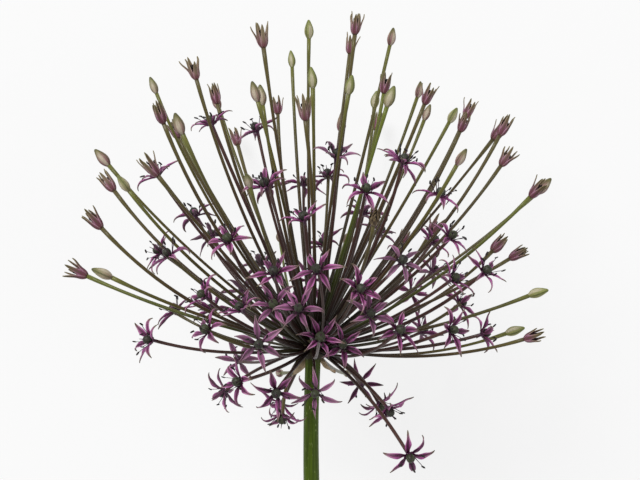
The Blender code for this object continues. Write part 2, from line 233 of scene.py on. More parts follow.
@dataclass(frozen=True)
class HeadRule:
    """The rule that spreads the florets, with the sizes that the solids have too.

    Lengths are in metres and angles in degrees. A reach is how far a stalk's end stands from the
    knob's middle, by the angle of the stalk's end from the head's axis.
    """

    seed: int = 3
    counts: tuple[int, int, int] = (66, 30, 24)  # open, opening and closed
    resting_buds: int = 6
    knob_radius: float = 0.0078
    knob_height: float = 0.110
    root_depth: float = 0.62
    resting_middle: float = 0.018
    resting_ring: tuple[float, float] = (0.038, 0.044)
    resting_reach: float = 0.150
    short_reach: Line = (
        (0, 0.116),
        (45, 0.105),
        (70, 0.094),
        (90, 0.084),
        (110, 0.066),
        (126, 0.058),
    )
    long_reach: Line = (
        (0, 0.156),
        (45, 0.148),
        (60, 0.131),
        (75, 0.119),
        (92, 0.112),
        (108, 0.080),
        (135, 0.066),
    )
    short_spread: tuple[float, float, float] = (-0.30, 0.22, -0.08)
    long_spread: tuple[float, float, float] = (-0.24, 0.06, 0.0)
    lowest: Mapping[Stage, float] = field(
        default_factory=lambda: {Stage.OPEN: 126, Stage.OPENING: 108, Stage.CLOSED: 98}
    )
    raised_left: Mapping[Stage, float] = field(
        default_factory=lambda: {Stage.OPEN: 0.0, Stage.OPENING: 0.2, Stage.CLOSED: 0.2}
    )
    drooping: tuple[tuple[float, float, float], ...] = ((117, 48, 0.060), (119, 58, 0.097))
    share_below: Mapping[Stage, float] = field(
        default_factory=lambda: {Stage.OPEN: 0.30, Stage.OPENING: 0.14, Stage.CLOSED: 0.10}
    )
    fewer_down: float = 1.8
    candidates: int = 26
    sparse_below: float = 88
    sparseness: float = 0.52
    fullness: float = 2.6
    crowding: float = 1.4
    upward_bend: float = 13
    bend_range: tuple[float, float] = (0.3, 1.6)
    lowest_root: float = 106
    root_above_end: float = 22
    sideways_bend: float = 9
    handle_share: float = 0.5
    ring_outer: float = 0.0026
    ring_depth: float = 0.0010
    nod: float = 24
    tepals: int = 6
    tepal_length: float = 0.0121
    tepal_steps: Line = ((0.38, 14), (0.36, 0), (0.26, -16))
    lift_range: tuple[float, float] = (-12, 26)
    tepal_variation: float = 7
    tepal_lengths: tuple[float, float] = (0.88, 1.06)
    clear_of_stalks: float = 0.0028
    slides: tuple[float, ...] = (1.0, 0.94, 1.13, 0.94)  # how a floret is moved along its stalk
    turn_step: float = 10
    turns: int = 6
    nod_step: float = 90
    nods: int = 4
    clearly_better: float = 0.0001
    stalk_points: int = 44
    stalk_matters_from: float = 0.25  # nearer the knob, no tepal reaches a stalk
    bud_rings: Line = ((0.0025, 0.0018), (0.0060, 0.0016))  # how far along a bud, and how wide
    bud_points: int = 6
    bud_variation: float = 0.12
    opening_spread: float = 0.35
    tips: Mapping[Stage, float] = field(
        default_factory=lambda: {Stage.OPEN: 0.0064, Stage.OPENING: 0.0120, Stage.CLOSED: 0.0100}
    )
    pressed: float = 0.0007

    @property
    def foot_out(self) -> float:
        """How far out a tepal's foot stands, in the middle of a side of the floret's ring."""
        return self.ring_outer * math.cos(math.pi / self.tepals)


RULE = HeadRule()


def tepal_angle(number: int, aside: float = 0.0) -> float:
    """The angle of a tepal round its floret, in radians, where aside is in degrees."""
    return math.radians(360 / RULE.tepals * (number + 0.5) + aside)


class Floret:
    """One stalk with what it carries. The stalk is a curve from root by handle to end."""

    def __init__(
        self,
        index: int,
        stage: Stage,
        polar: float,
        azimuth: float,
        draw: random.Random,
        reach: float | None = None,
    ) -> None:
        """Draws the stalk and the form of its floret.

        Args:
            index: The floret's number on the head.
            stage: How far it has opened.
            polar: The angle of its end from the head's axis, in degrees.
            azimuth: The angle of its end round that axis, in degrees.
            draw: The head's own draw.
            reach: How far the end stands from the knob, where the rule for its angle doesn't say.
        """
        self.index = index
        self.stage = stage
        is_open = stage is Stage.OPEN
        line = RULE.short_reach if is_open else RULE.long_reach
        spread = RULE.short_spread if is_open else RULE.long_spread
        reach = reach or read_off(line, polar) * (1 + draw.triangular(*spread))
        levelness = math.sin(math.radians(min(polar, 90)))
        bend = RULE.upward_bend * levelness * draw.uniform(*RULE.bend_range)
        low = min(polar + bend, max(RULE.lowest_root, polar - RULE.root_above_end))
        start = heading(low, azimuth + draw.uniform(-RULE.sideways_bend, RULE.sideways_bend))
        self.root = start * RULE.knob_radius * RULE.root_depth
        self.handle = self.root + start * reach * RULE.handle_share
        self.end = heading(polar, azimuth) * reach
        self.size = 1 + draw.uniform(-RULE.bud_variation, RULE.bud_variation)
        self.spread = 1 + draw.uniform(-RULE.opening_spread, RULE.opening_spread)
        self.lift = draw.uniform(*RULE.lift_range)
        self.turn = draw.uniform(0, 360 / RULE.tepals)
        self.nod = draw.uniform(0, RULE.nod) if is_open else 0.0
        self.nod_way = draw.uniform(0, 360)
        self.tepals = [
            (draw.uniform(-1, 1) * RULE.tepal_variation, draw.uniform(*RULE.tepal_lengths))
            for _ in range(RULE.tepals)
        ]

    def stretch(self, share: float) -> None:
        """Makes the stalk longer or shorter, along the same curve."""
        self.handle = self.root + (self.handle - self.root) * share
        self.end = self.root + (self.end - self.root) * share

    def point(self, share: float) -> Vector:
        """A point on the stalk, from 0 at its root to 1 at its end."""
        return curve_point(self.root, self.handle, self.end, share)

    def facing(self, share: float = 1.0) -> Vector:
        """The way that the stalk runs there."""
        away = (self.handle - self.root) * (1 - share) + (self.end - self.handle) * share
        return away.normalized()

    def nodding(self) -> Vector:
        """The way that the floret itself faces."""
        way = math.radians(self.nod_way)
        nod = Quaternion((math.cos(way), math.sin(way), 0), math.radians(self.nod))
        return FORWARD.rotation_difference(self.facing()) @ nod @ FORWARD

    def place(self) -> Matrix:
        """The matrix that carries a floret from its own frame, facing +Z, to the stalk's end."""
        spun = Quaternion(FORWARD, math.radians(self.turn))
        faced = FORWARD.rotation_difference(self.nodding())
        return Matrix.LocRotScale(self.end, faced @ spun, None)

    def tip_length(self) -> float:
        """How far the floret reaches past the stalk's end."""
        return RULE.tips[self.stage] * self.size

    def rest_on_surface(self) -> None:
        """Shortens a stalk that would reach below the surface, so that its bud rests there."""
        lowest = -RULE.knob_height - RULE.pressed
        past = self.facing().z * self.tip_length()
        if self.stage is not Stage.OPEN and self.end.z + past < lowest:
            self.stretch((lowest - past - self.root.z) / (self.end.z - self.root.z))

    def tepal_points(self) -> list[Vector]:
        """Finds points along the middles of the tepals.

        Returns:
            The points, where they stand on the head.
        """
        place = self.place()
        found = []
        for number, (bent, long) in enumerate(self.tepals):
            angle = tepal_angle(number)
            last = (RULE.ring_outer, RULE.ring_depth / 2)
            out, ahead = RULE.foot_out, RULE.ring_depth / 2
            for share, rise in RULE.tepal_steps:
                slope = math.radians(self.lift + bent + rise)
                out += math.cos(slope) * share * RULE.tepal_length * long
                ahead += math.sin(slope) * share * RULE.tepal_length * long
                for part in (0.5, 1.0):
                    at_out = last[0] + (out - last[0]) * part
                    at_ahead = last[1] + (ahead - last[1]) * part
                    here = (at_out * math.cos(angle), at_out * math.sin(angle), at_ahead)
                    found.append(place @ Vector(here))
                last = (out, ahead)
        return found


class Head:
    """All the florets of the head, spread round the knob."""

    def __init__(self) -> None:
        """Lays the florets out, the same way every time."""
        draw = random.Random(RULE.seed)
        is_open, opening, closed = RULE.counts
        early = [Stage.OPEN] * is_open
        late = [Stage.OPENING] * opening + [Stage.CLOSED] * closed
        draw.shuffle(late)
        resting = self._resting_headings()
        self._taken = [heading(*place) for place in resting]
        self.florets: list[Floret] = []
        for index, stage in enumerate(early + late):
            if index < len(RULE.drooping):
                polar, azimuth, reach = RULE.drooping[index]
            else:
                (polar, azimuth), reach = self._pick_heading(stage, draw), None
            self._taken.append(heading(polar, azimuth))
            self.florets.append(Floret(index, stage, polar, azimuth, draw, reach))
        for index, (polar, azimuth) in enumerate(resting, len(self.florets)):
            bud = Floret(index, Stage.CLOSED, polar, azimuth, draw, RULE.resting_reach)
            self.florets.append(bud)
        for floret in self.florets:
            floret.rest_on_surface()
        stalks = {floret: self._stalk_points(floret) for floret in self.florets}
        tepals: list[Vector] = []
        for floret in self.florets[: len(early)]:
            self._settle(floret, stalks, tepals)
            tepals += floret.tepal_points()

    def at_stage(self, stage: Stage) -> list[Floret]:
        """The florets that have opened so far."""
        return [floret for floret in self.florets if floret.stage is stage]

    @staticmethod
    def _resting_headings() -> list[tuple[float, float]]:
        """Finds the headings of the buds that the head rests on.

        Returns:
            The polar angle and the azimuth of each.
        """
        found = []
        for number in range(RULE.resting_buds):
            angle = math.tau * number / RULE.resting_buds
            out = RULE.resting_ring[0] * math.cos(angle)
            along = RULE.resting_ring[1] * math.sin(angle)
            spot = Vector((out, RULE.resting_middle + along, -RULE.knob_height))
            azimuth = math.degrees(math.atan2(spot.z, spot.x))
            found.append((math.degrees(spot.angle(Vector((0, 1, 0)))), azimuth))
        return found

    def _pick_heading(self, stage: Stage, draw: random.Random) -> tuple[float, float]:
        """Picks, of some drawn headings, the one that stands furthest from those taken.

        Args:
            stage: How far the floret has opened.
            draw: The head's own draw.

        Returns:
            The polar angle and the azimuth.
        """
        best: tuple[float, float, float] | None = None
        for _ in range(RULE.candidates):
            if draw.random() < RULE.share_below[stage]:
                lowest = math.cos(math.radians(RULE.lowest[stage]))
                height = lowest * draw.random() ** RULE.fewer_down
            else:
                height = draw.uniform(0, 1)
            azimuth = draw.uniform(0, 360)
            leftness = max(0.0, -math.cos(math.radians(azimuth)))
            polar = math.degrees(math.acos(height)) * (1 - RULE.raised_left[stage] * leftness)
            here = heading(polar, azimuth)
            room = min((here.angle(other) for other in self._taken), default=math.pi)
            if polar > RULE.sparse_below:
                room *= RULE.sparseness
            is_open = stage is Stage.OPEN
            room *= 1 + (
                RULE.fullness * abs(here.z) if is_open else RULE.crowding * max(0.0, here.y)
            )
            if best is None or room > best[0]:
                best = (room, polar, azimuth)
        return best[1], best[2]

    @staticmethod
    def _stalk_points(floret: Floret) -> list[Vector]:
        """Finds points along a stalk, close enough together to measure a gap to it.

        Args:
            floret: The stalk with its floret.

        Returns:
            The points, with some round its bud.
        """
        shares = shares_of(RULE.stalk_points)
        found = [floret.point(share) for share in shares if share >= RULE.stalk_matters_from]
        if floret.stage is not Stage.OPEN:
            place = floret.place()
            for along, radius in RULE.bud_rings:
                found += ring(place, along, radius, RULE.bud_points)
        return found

    @staticmethod
    def _settle(
        floret: Floret, stalks: Mapping[Floret, list[Vector]], tepals: list[Vector]
    ) -> None:
        """Turns an open floret, and moves it along its stalk, until its tepals are clear.

        Args:
            floret: The floret.
            stalks: Points on every stalk, by its floret.
            tepals: Points on the tepals that are settled already.
        """
        points = [p for other, found in stalks.items() if other is not floret for p in found]
        points += tepals
        others = kdtree.KDTree(len(points))
        for index, point in enumerate(points):
            others.insert(point, index)
        others.balance()
        best: tuple[float, float, float, Vector, Vector] | None = None
        start, start_way = floret.turn, floret.nod_way
        for share in RULE.slides:
            floret.stretch(share)
            for step in range(RULE.turns * RULE.nods):
                floret.turn = start + RULE.turn_step * step
                floret.nod_way = start_way + RULE.nod_step * (step // RULE.turns)
                room = min(
                    min(others.find(point)[2], point.z + RULE.knob_height)
                    for point in floret.tepal_points()
                )
                if best is None or room > best[0] + RULE.clearly_better:
                    handle, end = floret.handle.copy(), floret.end.copy()
                    best = (room, floret.turn, floret.nod_way, handle, end)
            if best[0] > RULE.clear_of_stalks:
                break
        floret.turn, floret.nod_way, floret.handle, floret.end = best[1:]


# Shading ---------------------------------------------------------------------------------------


def colour(code: str) -> tuple[float, float, float, float]:
    """Turns a colour such as "#7e4d6e" into a shader's values.

    Args:
        code: The colour.

    Returns:
        Its linear red, green, blue and alpha.
    """
    parts = [int(code[at : at + 2], 16) / 255 for at in (1, 3, 5)]
    linear = [p / 12.92 if p <= 0.04045 else ((p + 0.055) / 1.055) ** 2.4 for p in parts]
    return (*linear, 1.0)


@dataclass(frozen=True)
class Mask:
    """Where a colour shows: from nothing at a value of low to its full strength at high."""

    low: float
    high: float
    strength: float = 1.0


@dataclass(frozen=True)
class Grain:
    """A noise: how many blots there are to a millimetre, and how broken they are."""

    blots: tuple[float, float, float]  # to the side, through and along the part
    detail: float = 2.0


class Signal:
    """A shader socket that takes part in Python arithmetic."""

    def __init__(self, paint: Paint, socket: Any) -> None:
        """Wraps a socket of a material's node."""
        self.paint = paint
        self.socket = socket

    def _math(self, operation: str, *values: Signal | float) -> Signal:
        """Adds one Math node."""
        return self.paint.node("ShaderNodeMath", {"operation": operation}, dict(enumerate(values)))

    def __add__(self, other: Signal | float) -> Signal:
        """The sum."""
        return self._math("ADD", self, other)

    def __radd__(self, other: float) -> Signal:
        """The sum, with a number first."""
        return self._math("ADD", other, self)

    def __sub__(self, other: Signal | float) -> Signal:
        """The difference."""
        return self._math("SUBTRACT", self, other)

    def __rsub__(self, other: float) -> Signal:
        """The difference, with a number first."""
        return self._math("SUBTRACT", other, self)

    def __mul__(self, other: Signal | float) -> Signal:
        """The product."""
        return self._math("MULTIPLY", self, other)

    def __rmul__(self, other: float) -> Signal:
        """The product, with a number first."""
        return self._math("MULTIPLY", other, self)

    def over(self, mask: Mask) -> Signal:
        """Steps smoothly from 0 to a mask's strength.

        Args:
            mask: The mask. The step runs down instead where its low is above its high.

        Returns:
            How strongly the mask shows.
        """
        settings = {"interpolation_type": "SMOOTHSTEP", "clamp": True}
        ends = {"From Min": min(mask.low, mask.high), "From Max": max(mask.low, mask.high)}
        made = self.paint.node("ShaderNodeMapRange", settings, {"Value": self, **ends})
        shown = made if mask.low < mask.high else 1 - made
        return shown if mask.strength == 1 else shown * mask.strength


def summed(weights: Weights, *patterns: Signal) -> Signal:
    """Adds patterns up.

    Args:
        weights: What the sum starts at, and what each pattern adds where it is 1.
        patterns: The patterns, from 0 to 1.

    Returns:
        The sum.
    """
    total: Any = weights[0]
    for weight, pattern in zip(weights[1:], patterns):
        total = total + weight * pattern
    return total


class Paint:
    """A material and its nodes."""

    CLOUD_ROUGHNESS = 0.55

    def __init__(self, name: str, shine: float, roughness: float = 0.5) -> None:
        """Makes a material with one Principled shader.

        Args:
            name: The material's name.
            shine: How strongly the surface mirrors light, where 0.5 is a glossy plastic.
            roughness: The shader's roughness, where no node sets it.
        """
        self.material = bpy.data.materials.new(name)
        self.material.use_nodes = True
        self.tree = self.material.node_tree
        self.shader = self.tree.nodes["Principled BSDF"]
        self.shader.inputs["Roughness"].default_value = roughness
        self.shader.inputs["Specular IOR Level"].default_value = shine

    def node(
        self,
        kind: str,
        settings: Mapping[str, Any],
        inputs: Mapping[str | int, Any],
        output: str | int = 0,
    ) -> Signal:
        """Adds a node.

        Args:
            kind: The node's type.
            settings: The node's own settings, and the stops of a ramp.
            inputs: Values or signals for its sockets.
            output: The socket that is returned.

        Returns:
            The output as a signal.
        """
        made = self.tree.nodes.new(kind)
        for key, value in settings.items():
            if key == "stops":
                self._set_stops(made.color_ramp, value)
            else:
                setattr(made, key, value)
        for key, value in inputs.items():
            if isinstance(value, Signal):
                self.tree.links.new(value.socket, made.inputs[key])
            else:
                made.inputs[key].default_value = value
        return Signal(self, made.outputs[output])

    @staticmethod
    def _set_stops(ramp: bpy.types.ColorRamp, stops: Stops) -> None:
        """Fills a colour ramp.

        Args:
            ramp: The ramp.
            stops: Its stops, as (place, colour).
        """
        while len(ramp.elements) > 1:
            ramp.elements.remove(ramp.elements[-1])
        for number, (place, code) in enumerate(stops):
            stop = ramp.elements[0] if number == 0 else ramp.elements.new(place)
            stop.position = place
            stop.color = colour(code)

    def value(self, name: str) -> Signal:
        """A shading value that the piece carries, such as along."""
        return self.node("ShaderNodeAttribute", {"attribute_name": name}, {}, "Fac")

    def cloud(self, grain: Grain) -> Signal:
        """Makes noise in the part's own millimetres.

        Args:
            grain: How fine it is.

        Returns:
            The noise, from 0 to 1.
        """
        own = self.node("ShaderNodeAttribute", {"attribute_name": "grain"}, {}, "Vector")
        ways = {0: own, 1: grain.blots}
        laid = self.node("ShaderNodeVectorMath", {"operation": "MULTIPLY"}, ways)
        sizes = {"Scale": 1.0, "Detail": grain.detail, "Roughness": self.CLOUD_ROUGHNESS}
        inputs = {"Vector": laid, **sizes}
        return self.node("ShaderNodeTexNoise", {"noise_dimensions": "3D"}, inputs, "Fac")

    def ramp(self, along: Signal, stops: Stops) -> Signal:
        """A colour that changes with a value."""
        return self.node("ShaderNodeValToRGB", {"stops": stops}, {"Fac": along}, "Color")

    def blend(self, first: Signal | str, second: Signal | str, share: Signal | float) -> Signal:
        """Two colours mixed, from the first at 0 to the second at 1."""
        return self._mix("MIX", first, second, share)

    def shade(self, tint: Signal, lightness: Weights, *patterns: Signal) -> Signal:
        """Makes a colour lighter or darker.

        Args:
            tint: The colour.
            lightness: The least lightness, and what each pattern adds to it.
            patterns: The patterns.

        Returns:
            The shaded colour.
        """
        channels = dict.fromkeys(("Red", "Green", "Blue"), summed(lightness, *patterns))
        grey = self.node("ShaderNodeCombineColor", {}, channels)
        return self._mix("MULTIPLY", tint, grey, 1.0)

    def _mix(
        self, kind: str, first: Signal | str, second: Signal | str, share: Signal | float
    ) -> Signal:
        """Adds one Mix node for colours.

        Args:
            kind: How they are mixed.
            first: The colour at 0.
            second: The colour at 1.
            share: How much of the second there is.

        Returns:
            The mixed colour.
        """
        ends = [colour(end) if isinstance(end, str) else end for end in (first, second)]
        settings = {"data_type": "RGBA", "blend_type": kind, "clamp_factor": True}
        return self.node("ShaderNodeMix", settings, {0: share, 6: ends[0], 7: ends[1]}, 2)

    def roughen(self, matt: Weights, relief: float, pattern: Signal, *others: Signal) -> None:
        """Lets patterns set the roughness, and the first of them raise the surface.

        Args:
            matt: The roughness, and what each pattern adds to it.
            relief: How far the first pattern raises the surface, in metres.
            pattern: The first pattern.
            others: More patterns.
        """
        self.feed("Roughness", summed(matt, pattern, *others))
        self.bump(pattern, relief)

    def bump(self, height: Signal, depth: float) -> None:
        """Raises the surface by a value from 0 to 1, depth metres at most."""
        inputs = {"Height": height, "Distance": depth}
        self.feed("Normal", self.node("ShaderNodeBump", {}, inputs, "Normal"))

    def feed(self, name: str, signal: Signal) -> None:
        """Links a signal to one of the shader's sockets."""
        self.tree.links.new(signal.socket, self.shader.inputs[name])


# Finishes --------------------------------------------------------------------------------------


@dataclass(frozen=True)
class StalkFinish:
    """Satin stalk skin, dark at the knob and greener towards the buds, with lengthwise streaks.

    The dark at the knob is partly the stalks' own colour and partly painted shade of the crowded
    middle of the head.
    """

    # both ramps darken towards the knob: partly the stalks' own brown, partly painted shade of the
    # crowded middle
    flowered: Stops = (
        (0.0, "#19120e"),
        (0.3, "#2e1d17"),
        (0.7, "#462c25"),
        (0.97, "#4d322c"),
        (1.0, "#4d2943"),
    )
    budded: Stops = (
        (0.0, "#1a150c"),
        (0.25, "#332814"),
        (0.55, "#4d401e"),
        (0.85, "#5e5b28"),
        (1.0, "#6f7038"),
    )
    green: Stops = ((0.0, "#2c2e12"), (0.4, "#4b541c"), (1.0, "#717b31"))
    rosy: str = "#3b2322"
    green_ones: Mask = Mask(0.80, 0.88)
    green_by_age: Weights = (1.0, -0.7)
    rosy_ones: Mask = Mask(0.3, 0.15, 0.7)
    streaks: Grain = Grain((2.6, 2.6, 0.11), 3.0)
    blots: Grain = Grain((0.3, 0.3, 0.09))
    lightness: Weights = (0.34, 0.66, 0.44)
    shine: float = 0.3
    matt: Weights = (0.26, 0.2)
    relief: float = 0.08 * MM

    def paint(self) -> Paint:
        """Mixes the finish.

        Returns:
            The material. Its piece's age is 1 where the floret is open and 0 on a closed bud.
        """
        paint = Paint("stalk_skin", self.shine)
        along, tone, age = paint.value("along"), paint.value("tone"), paint.value("age")
        body = paint.blend(paint.ramp(along, self.budded), paint.ramp(along, self.flowered), age)
        greenness = tone.over(self.green_ones) * summed(self.green_by_age, age)
        body = paint.blend(body, paint.ramp(along, self.green), greenness)
        body = paint.blend(body, self.rosy, tone.over(self.rosy_ones) * (1 - along))
        streak, blot = paint.cloud(self.streaks), paint.cloud(self.blots)
        paint.feed("Base Color", paint.shade(body, self.lightness, streak, blot))
        paint.roughen(self.matt, self.relief, streak)
        return paint


@dataclass(frozen=True)
class KnobFinish:
    """Dark green-brown skin with small scars."""

    skin: Stops = ((0.3, "#211a12"), (0.55, "#352c1c"), (0.8, "#4a4328"))
    shine: float = 0.2
    roughness: float = 0.6
    scars: Grain = Grain((0.5, 0.5, 0.5), 3.0)
    relief: float = 0.5 * MM

    def paint(self) -> Paint:
        """Mixes the finish.

        Returns:
            The material.
        """
        paint = Paint("knob_skin", self.shine, self.roughness)
        scars = paint.cloud(self.scars)
        paint.feed("Base Color", paint.ramp(scars, self.skin))
        paint.bump(scars, self.relief)
        return paint


@dataclass(frozen=True)
class TepalFinish:
    """Plum tepals with paler edges, a dark middle vein and grey-green, drying tips.

    The paler edges are partly the tepals' own pale margins and partly painted highlight.
    """

    middle: Stops = (
        (0.0, "#230713"),
        (0.14, "#3f1029"),
        (0.4, "#5a2146"),
        (0.72, "#64384f"),
        (1.0, "#54463a"),
    )
    # paler towards the edges: partly the tepals' own margins, partly painted highlight
    edge: Stops = (
        (0.0, "#390e26"),
        (0.16, "#692854"),
        (0.45, "#aa5c97"),
        (0.78, "#ad7d94"),
        (1.0, "#7f725a"),
    )
    vein: str = "#340f26"
    bloom: str = "#c095b6"
    tip: str = "#5f5642"
    faded: str = "#8a7280"
    rim: Mask = Mask(0.2, 1.0)
    vein_line: Mask = Mask(0.3, 0.0, 0.6)
    vein_ends: Mask = Mask(0.9, 0.45)
    bloom_blots: Mask = Mask(0.52, 0.8, 0.5)
    tip_starts: Mask = Mask(0.70, 0.95)
    tip_by_tone: Weights = (0.35, 0.65)
    faded_ones: Mask = Mask(0.65, 1.0, 0.45)
    fibres: Grain = Grain((3.4, 1.0, 0.16))
    lightness: Weights = (0.40, 0.58, 0.56)
    shine: float = 0.2
    matt: Weights = (0.42, 0.2)
    relief: float = 0.06 * MM

    def paint(self) -> Paint:
        """Mixes the finish.

        Returns:
            The material. Its piece's age is how far the floret has faded.
        """
        paint = Paint("tepal_skin", self.shine)
        along, across = paint.value("along"), paint.value("across")
        tone, age = paint.value("tone"), paint.value("age")
        # the paler edge colour, partly painted highlight
        rim = across.over(self.rim)
        body = paint.blend(paint.ramp(along, self.middle), paint.ramp(along, self.edge), rim)
        vein = across.over(self.vein_line) * along.over(self.vein_ends)
        body = paint.blend(body, self.vein, vein)
        fine = paint.cloud(self.fibres)
        body = paint.blend(body, self.bloom, fine.over(self.bloom_blots))
        dryness = along.over(self.tip_starts) * summed(self.tip_by_tone, tone)
        body = paint.blend(body, self.tip, dryness)
        body = paint.blend(body, self.faded, age.over(self.faded_ones))
        paint.feed("Base Color", paint.shade(body, self.lightness, tone, fine))
        paint.roughen(self.matt, self.relief, fine)
        return paint


@dataclass(frozen=True)
class StamenFinish:
    """Purple threads and nearly black anthers, some of them dusted with pollen."""

    name: str = "stamen_skin"
    thread: Stops = ((0.0, "#4d1a3d"), (0.35, "#3a1732"), (1.0, "#2b1826"))
    anther: str = "#211a1b"
    pollen: str = "#5b5340"
    dust: Grain = Grain((1.6, 1.6, 1.6))
    dust_blots: Mask = Mask(0.5, 0.75)
    dusty_ones: Mask = Mask(0.5, 0.9)
    shine: float = 0.25
    roughness: float = 0.55

    def paint(self) -> Paint:
        """Mixes the finish.

        Returns:
            The material. Its piece's age is 1 on the anthers and 0 on the threads.
        """
        paint = Paint(self.name, self.shine, self.roughness)
        along, age, tone = paint.value("along"), paint.value("age"), paint.value("tone")
        dust = paint.cloud(self.dust).over(self.dust_blots) * tone.over(self.dusty_ones)
        dusted = paint.blend(self.anther, self.pollen, dust)
        paint.feed("Base Color", paint.blend(paint.ramp(along, self.thread), dusted, age))
        return paint


@dataclass(frozen=True)
class OvaryFinish:
    """Dark green-grey skin with painted shade in the furrows, and a purple style."""

    skin: Stops = ((0.1, "#2b1a19"), (0.3, "#30302a"), (0.6, "#3a3b31"), (0.7, "#2b2c25"))
    greener: str = "#434a30"
    # painted shade: near-black along the furrows between the lobes
    furrow: str = "#191615"
    style: str = "#44223a"
    greener_ones: Mask = Mask(0.55, 1.0, 0.7)
    furrow_shade_line: Mask = Mask(0.35, 0.0, 0.7)
    style_starts: Mask = Mask(0.70, 0.76)
    specks: Grain = Grain((2.4, 2.4, 2.4), 3.0)
    lightness: Weights = (0.66, 0.62)
    shine: float = 0.3
    matt: Weights = (0.34, 0.25)
    relief: float = 0.14 * MM

    def paint(self) -> Paint:
        """Mixes the finish.

        Returns:
            The material.
        """
        paint = Paint("ovary_skin", self.shine)
        along, across, tone = paint.value("along"), paint.value("across"), paint.value("tone")
        greenness = tone.over(self.greener_ones)
        body = paint.blend(paint.ramp(along, self.skin), self.greener, greenness)
        # painted shade in the furrows
        body = paint.blend(body, self.furrow, across.over(self.furrow_shade_line))
        body = paint.blend(body, self.style, along.over(self.style_starts))
        speck = paint.cloud(self.specks)
        paint.feed("Base Color", paint.shade(body, self.lightness, speck))
        paint.roughen(self.matt, self.relief, speck)
        return paint


@dataclass(frozen=True)
class BudFinish:
    """Cream-green bud, rosy towards its foot, with a greener line along each tepal."""

    cream: Stops = (
        (0.0, "#6b6540"),
        (0.15, "#958269"),
        (0.45, "#a09579"),
        (0.75, "#89885c"),
        (1.0, "#5a5c33"),
    )
    rosy: Stops = (
        (0.0, "#634842"),
        (0.2, "#8b6066"),
        (0.5, "#92726c"),
        (0.8, "#7a714c"),
        (1.0, "#52522f"),
    )
    young: str = "#838b45"
    rib: str = "#474d29"
    fold: str = "#cbc1aa"
    rosy_ones: Mask = Mask(0.3, 0.7)
    young_ones: Mask = Mask(0.30, 0.14, 0.7)
    rib_line: Mask = Mask(0.45, 0.05, 0.7)
    rib_starts: Mask = Mask(0.0, 0.2)
    fold_line: Mask = Mask(0.65, 0.95, 0.65)
    fold_ends: Mask = Mask(0.95, 0.5)
    fibres: Grain = Grain((2.2, 2.2, 0.22))
    lightness: Weights = (0.50, 0.78)
    shine: float = 0.25
    matt: Weights = (0.42, 0.2)
    relief: float = 0.1 * MM

    def paint(self) -> Paint:
        """Mixes the finish.

        Returns:
            The material.
        """
        paint = Paint("bud_skin", self.shine)
        along, across, tone = paint.value("along"), paint.value("across"), paint.value("tone")
        pink = tone.over(self.rosy_ones)
        body = paint.blend(paint.ramp(along, self.cream), paint.ramp(along, self.rosy), pink)
        body = paint.blend(body, self.young, tone.over(self.young_ones))
        rib = across.over(self.rib_line) * along.over(self.rib_starts)
        fold = across.over(self.fold_line) * along.over(self.fold_ends)
        body = paint.blend(paint.blend(body, self.rib, rib), self.fold, fold)
        fine = paint.cloud(self.fibres)
        paint.feed("Base Color", paint.shade(body, self.lightness, fine))
        paint.roughen(self.matt, self.relief, fine)
        return paint


@dataclass(frozen=True)
class OpeningFinish:
    """Dusky pink cup with green-brown ribs and tips, brown all over where it has withered."""

    middle: Stops = (
        (0.0, "#5f4e3a"),
        (0.10, "#74424d"),
        (0.32, "#753f56"),
        (0.5, "#6d454e"),
        (0.68, "#685441"),
        (1.0, "#5f5a38"),
    )
    edge: Stops = ((0.0, "#7d675a"), (0.35, "#b58d9f"), (0.6, "#aa9184"), (1.0, "#92895f"))
    rib: str = "#4e4a2b"
    blush: str = "#542a40"
    unripe: str = "#8d8066"
    dry: tuple[str, str] = ("#46382a", "#7d6c50")
    rim: Mask = Mask(0.45, 0.95, 0.8)
    rib_line: Mask = Mask(0.4, 0.05, 0.75)
    rib_starts: Mask = Mask(0.1, 0.35)
    blush_blots: Mask = Mask(0.55, 0.8, 0.45)
    unripe_ones: Mask = Mask(0.55, 1.0, 0.6)
    unripe_starts: Mask = Mask(0.0, 0.5)
    dry_blots: Mask = Mask(0.35, 0.7)
    fibres: Grain = Grain((2.6, 1.0, 0.2))
    patches: Grain = Grain((0.9, 0.9, 0.5), 3.0)
    lightness: Weights = (0.50, 0.3, 0.6)
    shine: float = 0.2
    matt: Weights = (0.42, 0.22)
    relief: float = 0.1 * MM

    def paint(self) -> Paint:
        """Mixes the finish.

        Returns:
            The material. Its piece's age is 1 where the floret has withered.
        """
        paint = Paint("opening_skin", self.shine)
        along, across = paint.value("along"), paint.value("across")
        tone, age = paint.value("tone"), paint.value("age")
        rim = across.over(self.rim)
        body = paint.blend(paint.ramp(along, self.middle), paint.ramp(along, self.edge), rim)
        rib = across.over(self.rib_line) * along.over(self.rib_starts)
        body = paint.blend(body, self.rib, rib)
        fine = paint.cloud(self.fibres)
        body = paint.blend(body, self.blush, fine.over(self.blush_blots))
        unripe = tone.over(self.unripe_ones) * along.over(self.unripe_starts)
        body = paint.blend(body, self.unripe, unripe)
        brown = paint.blend(*self.dry, paint.cloud(self.patches).over(self.dry_blots))
        body = paint.blend(body, brown, age)
        paint.feed("Base Color", paint.shade(body, self.lightness, tone, fine))
        paint.roughen(self.matt, self.relief, fine)
        return paint


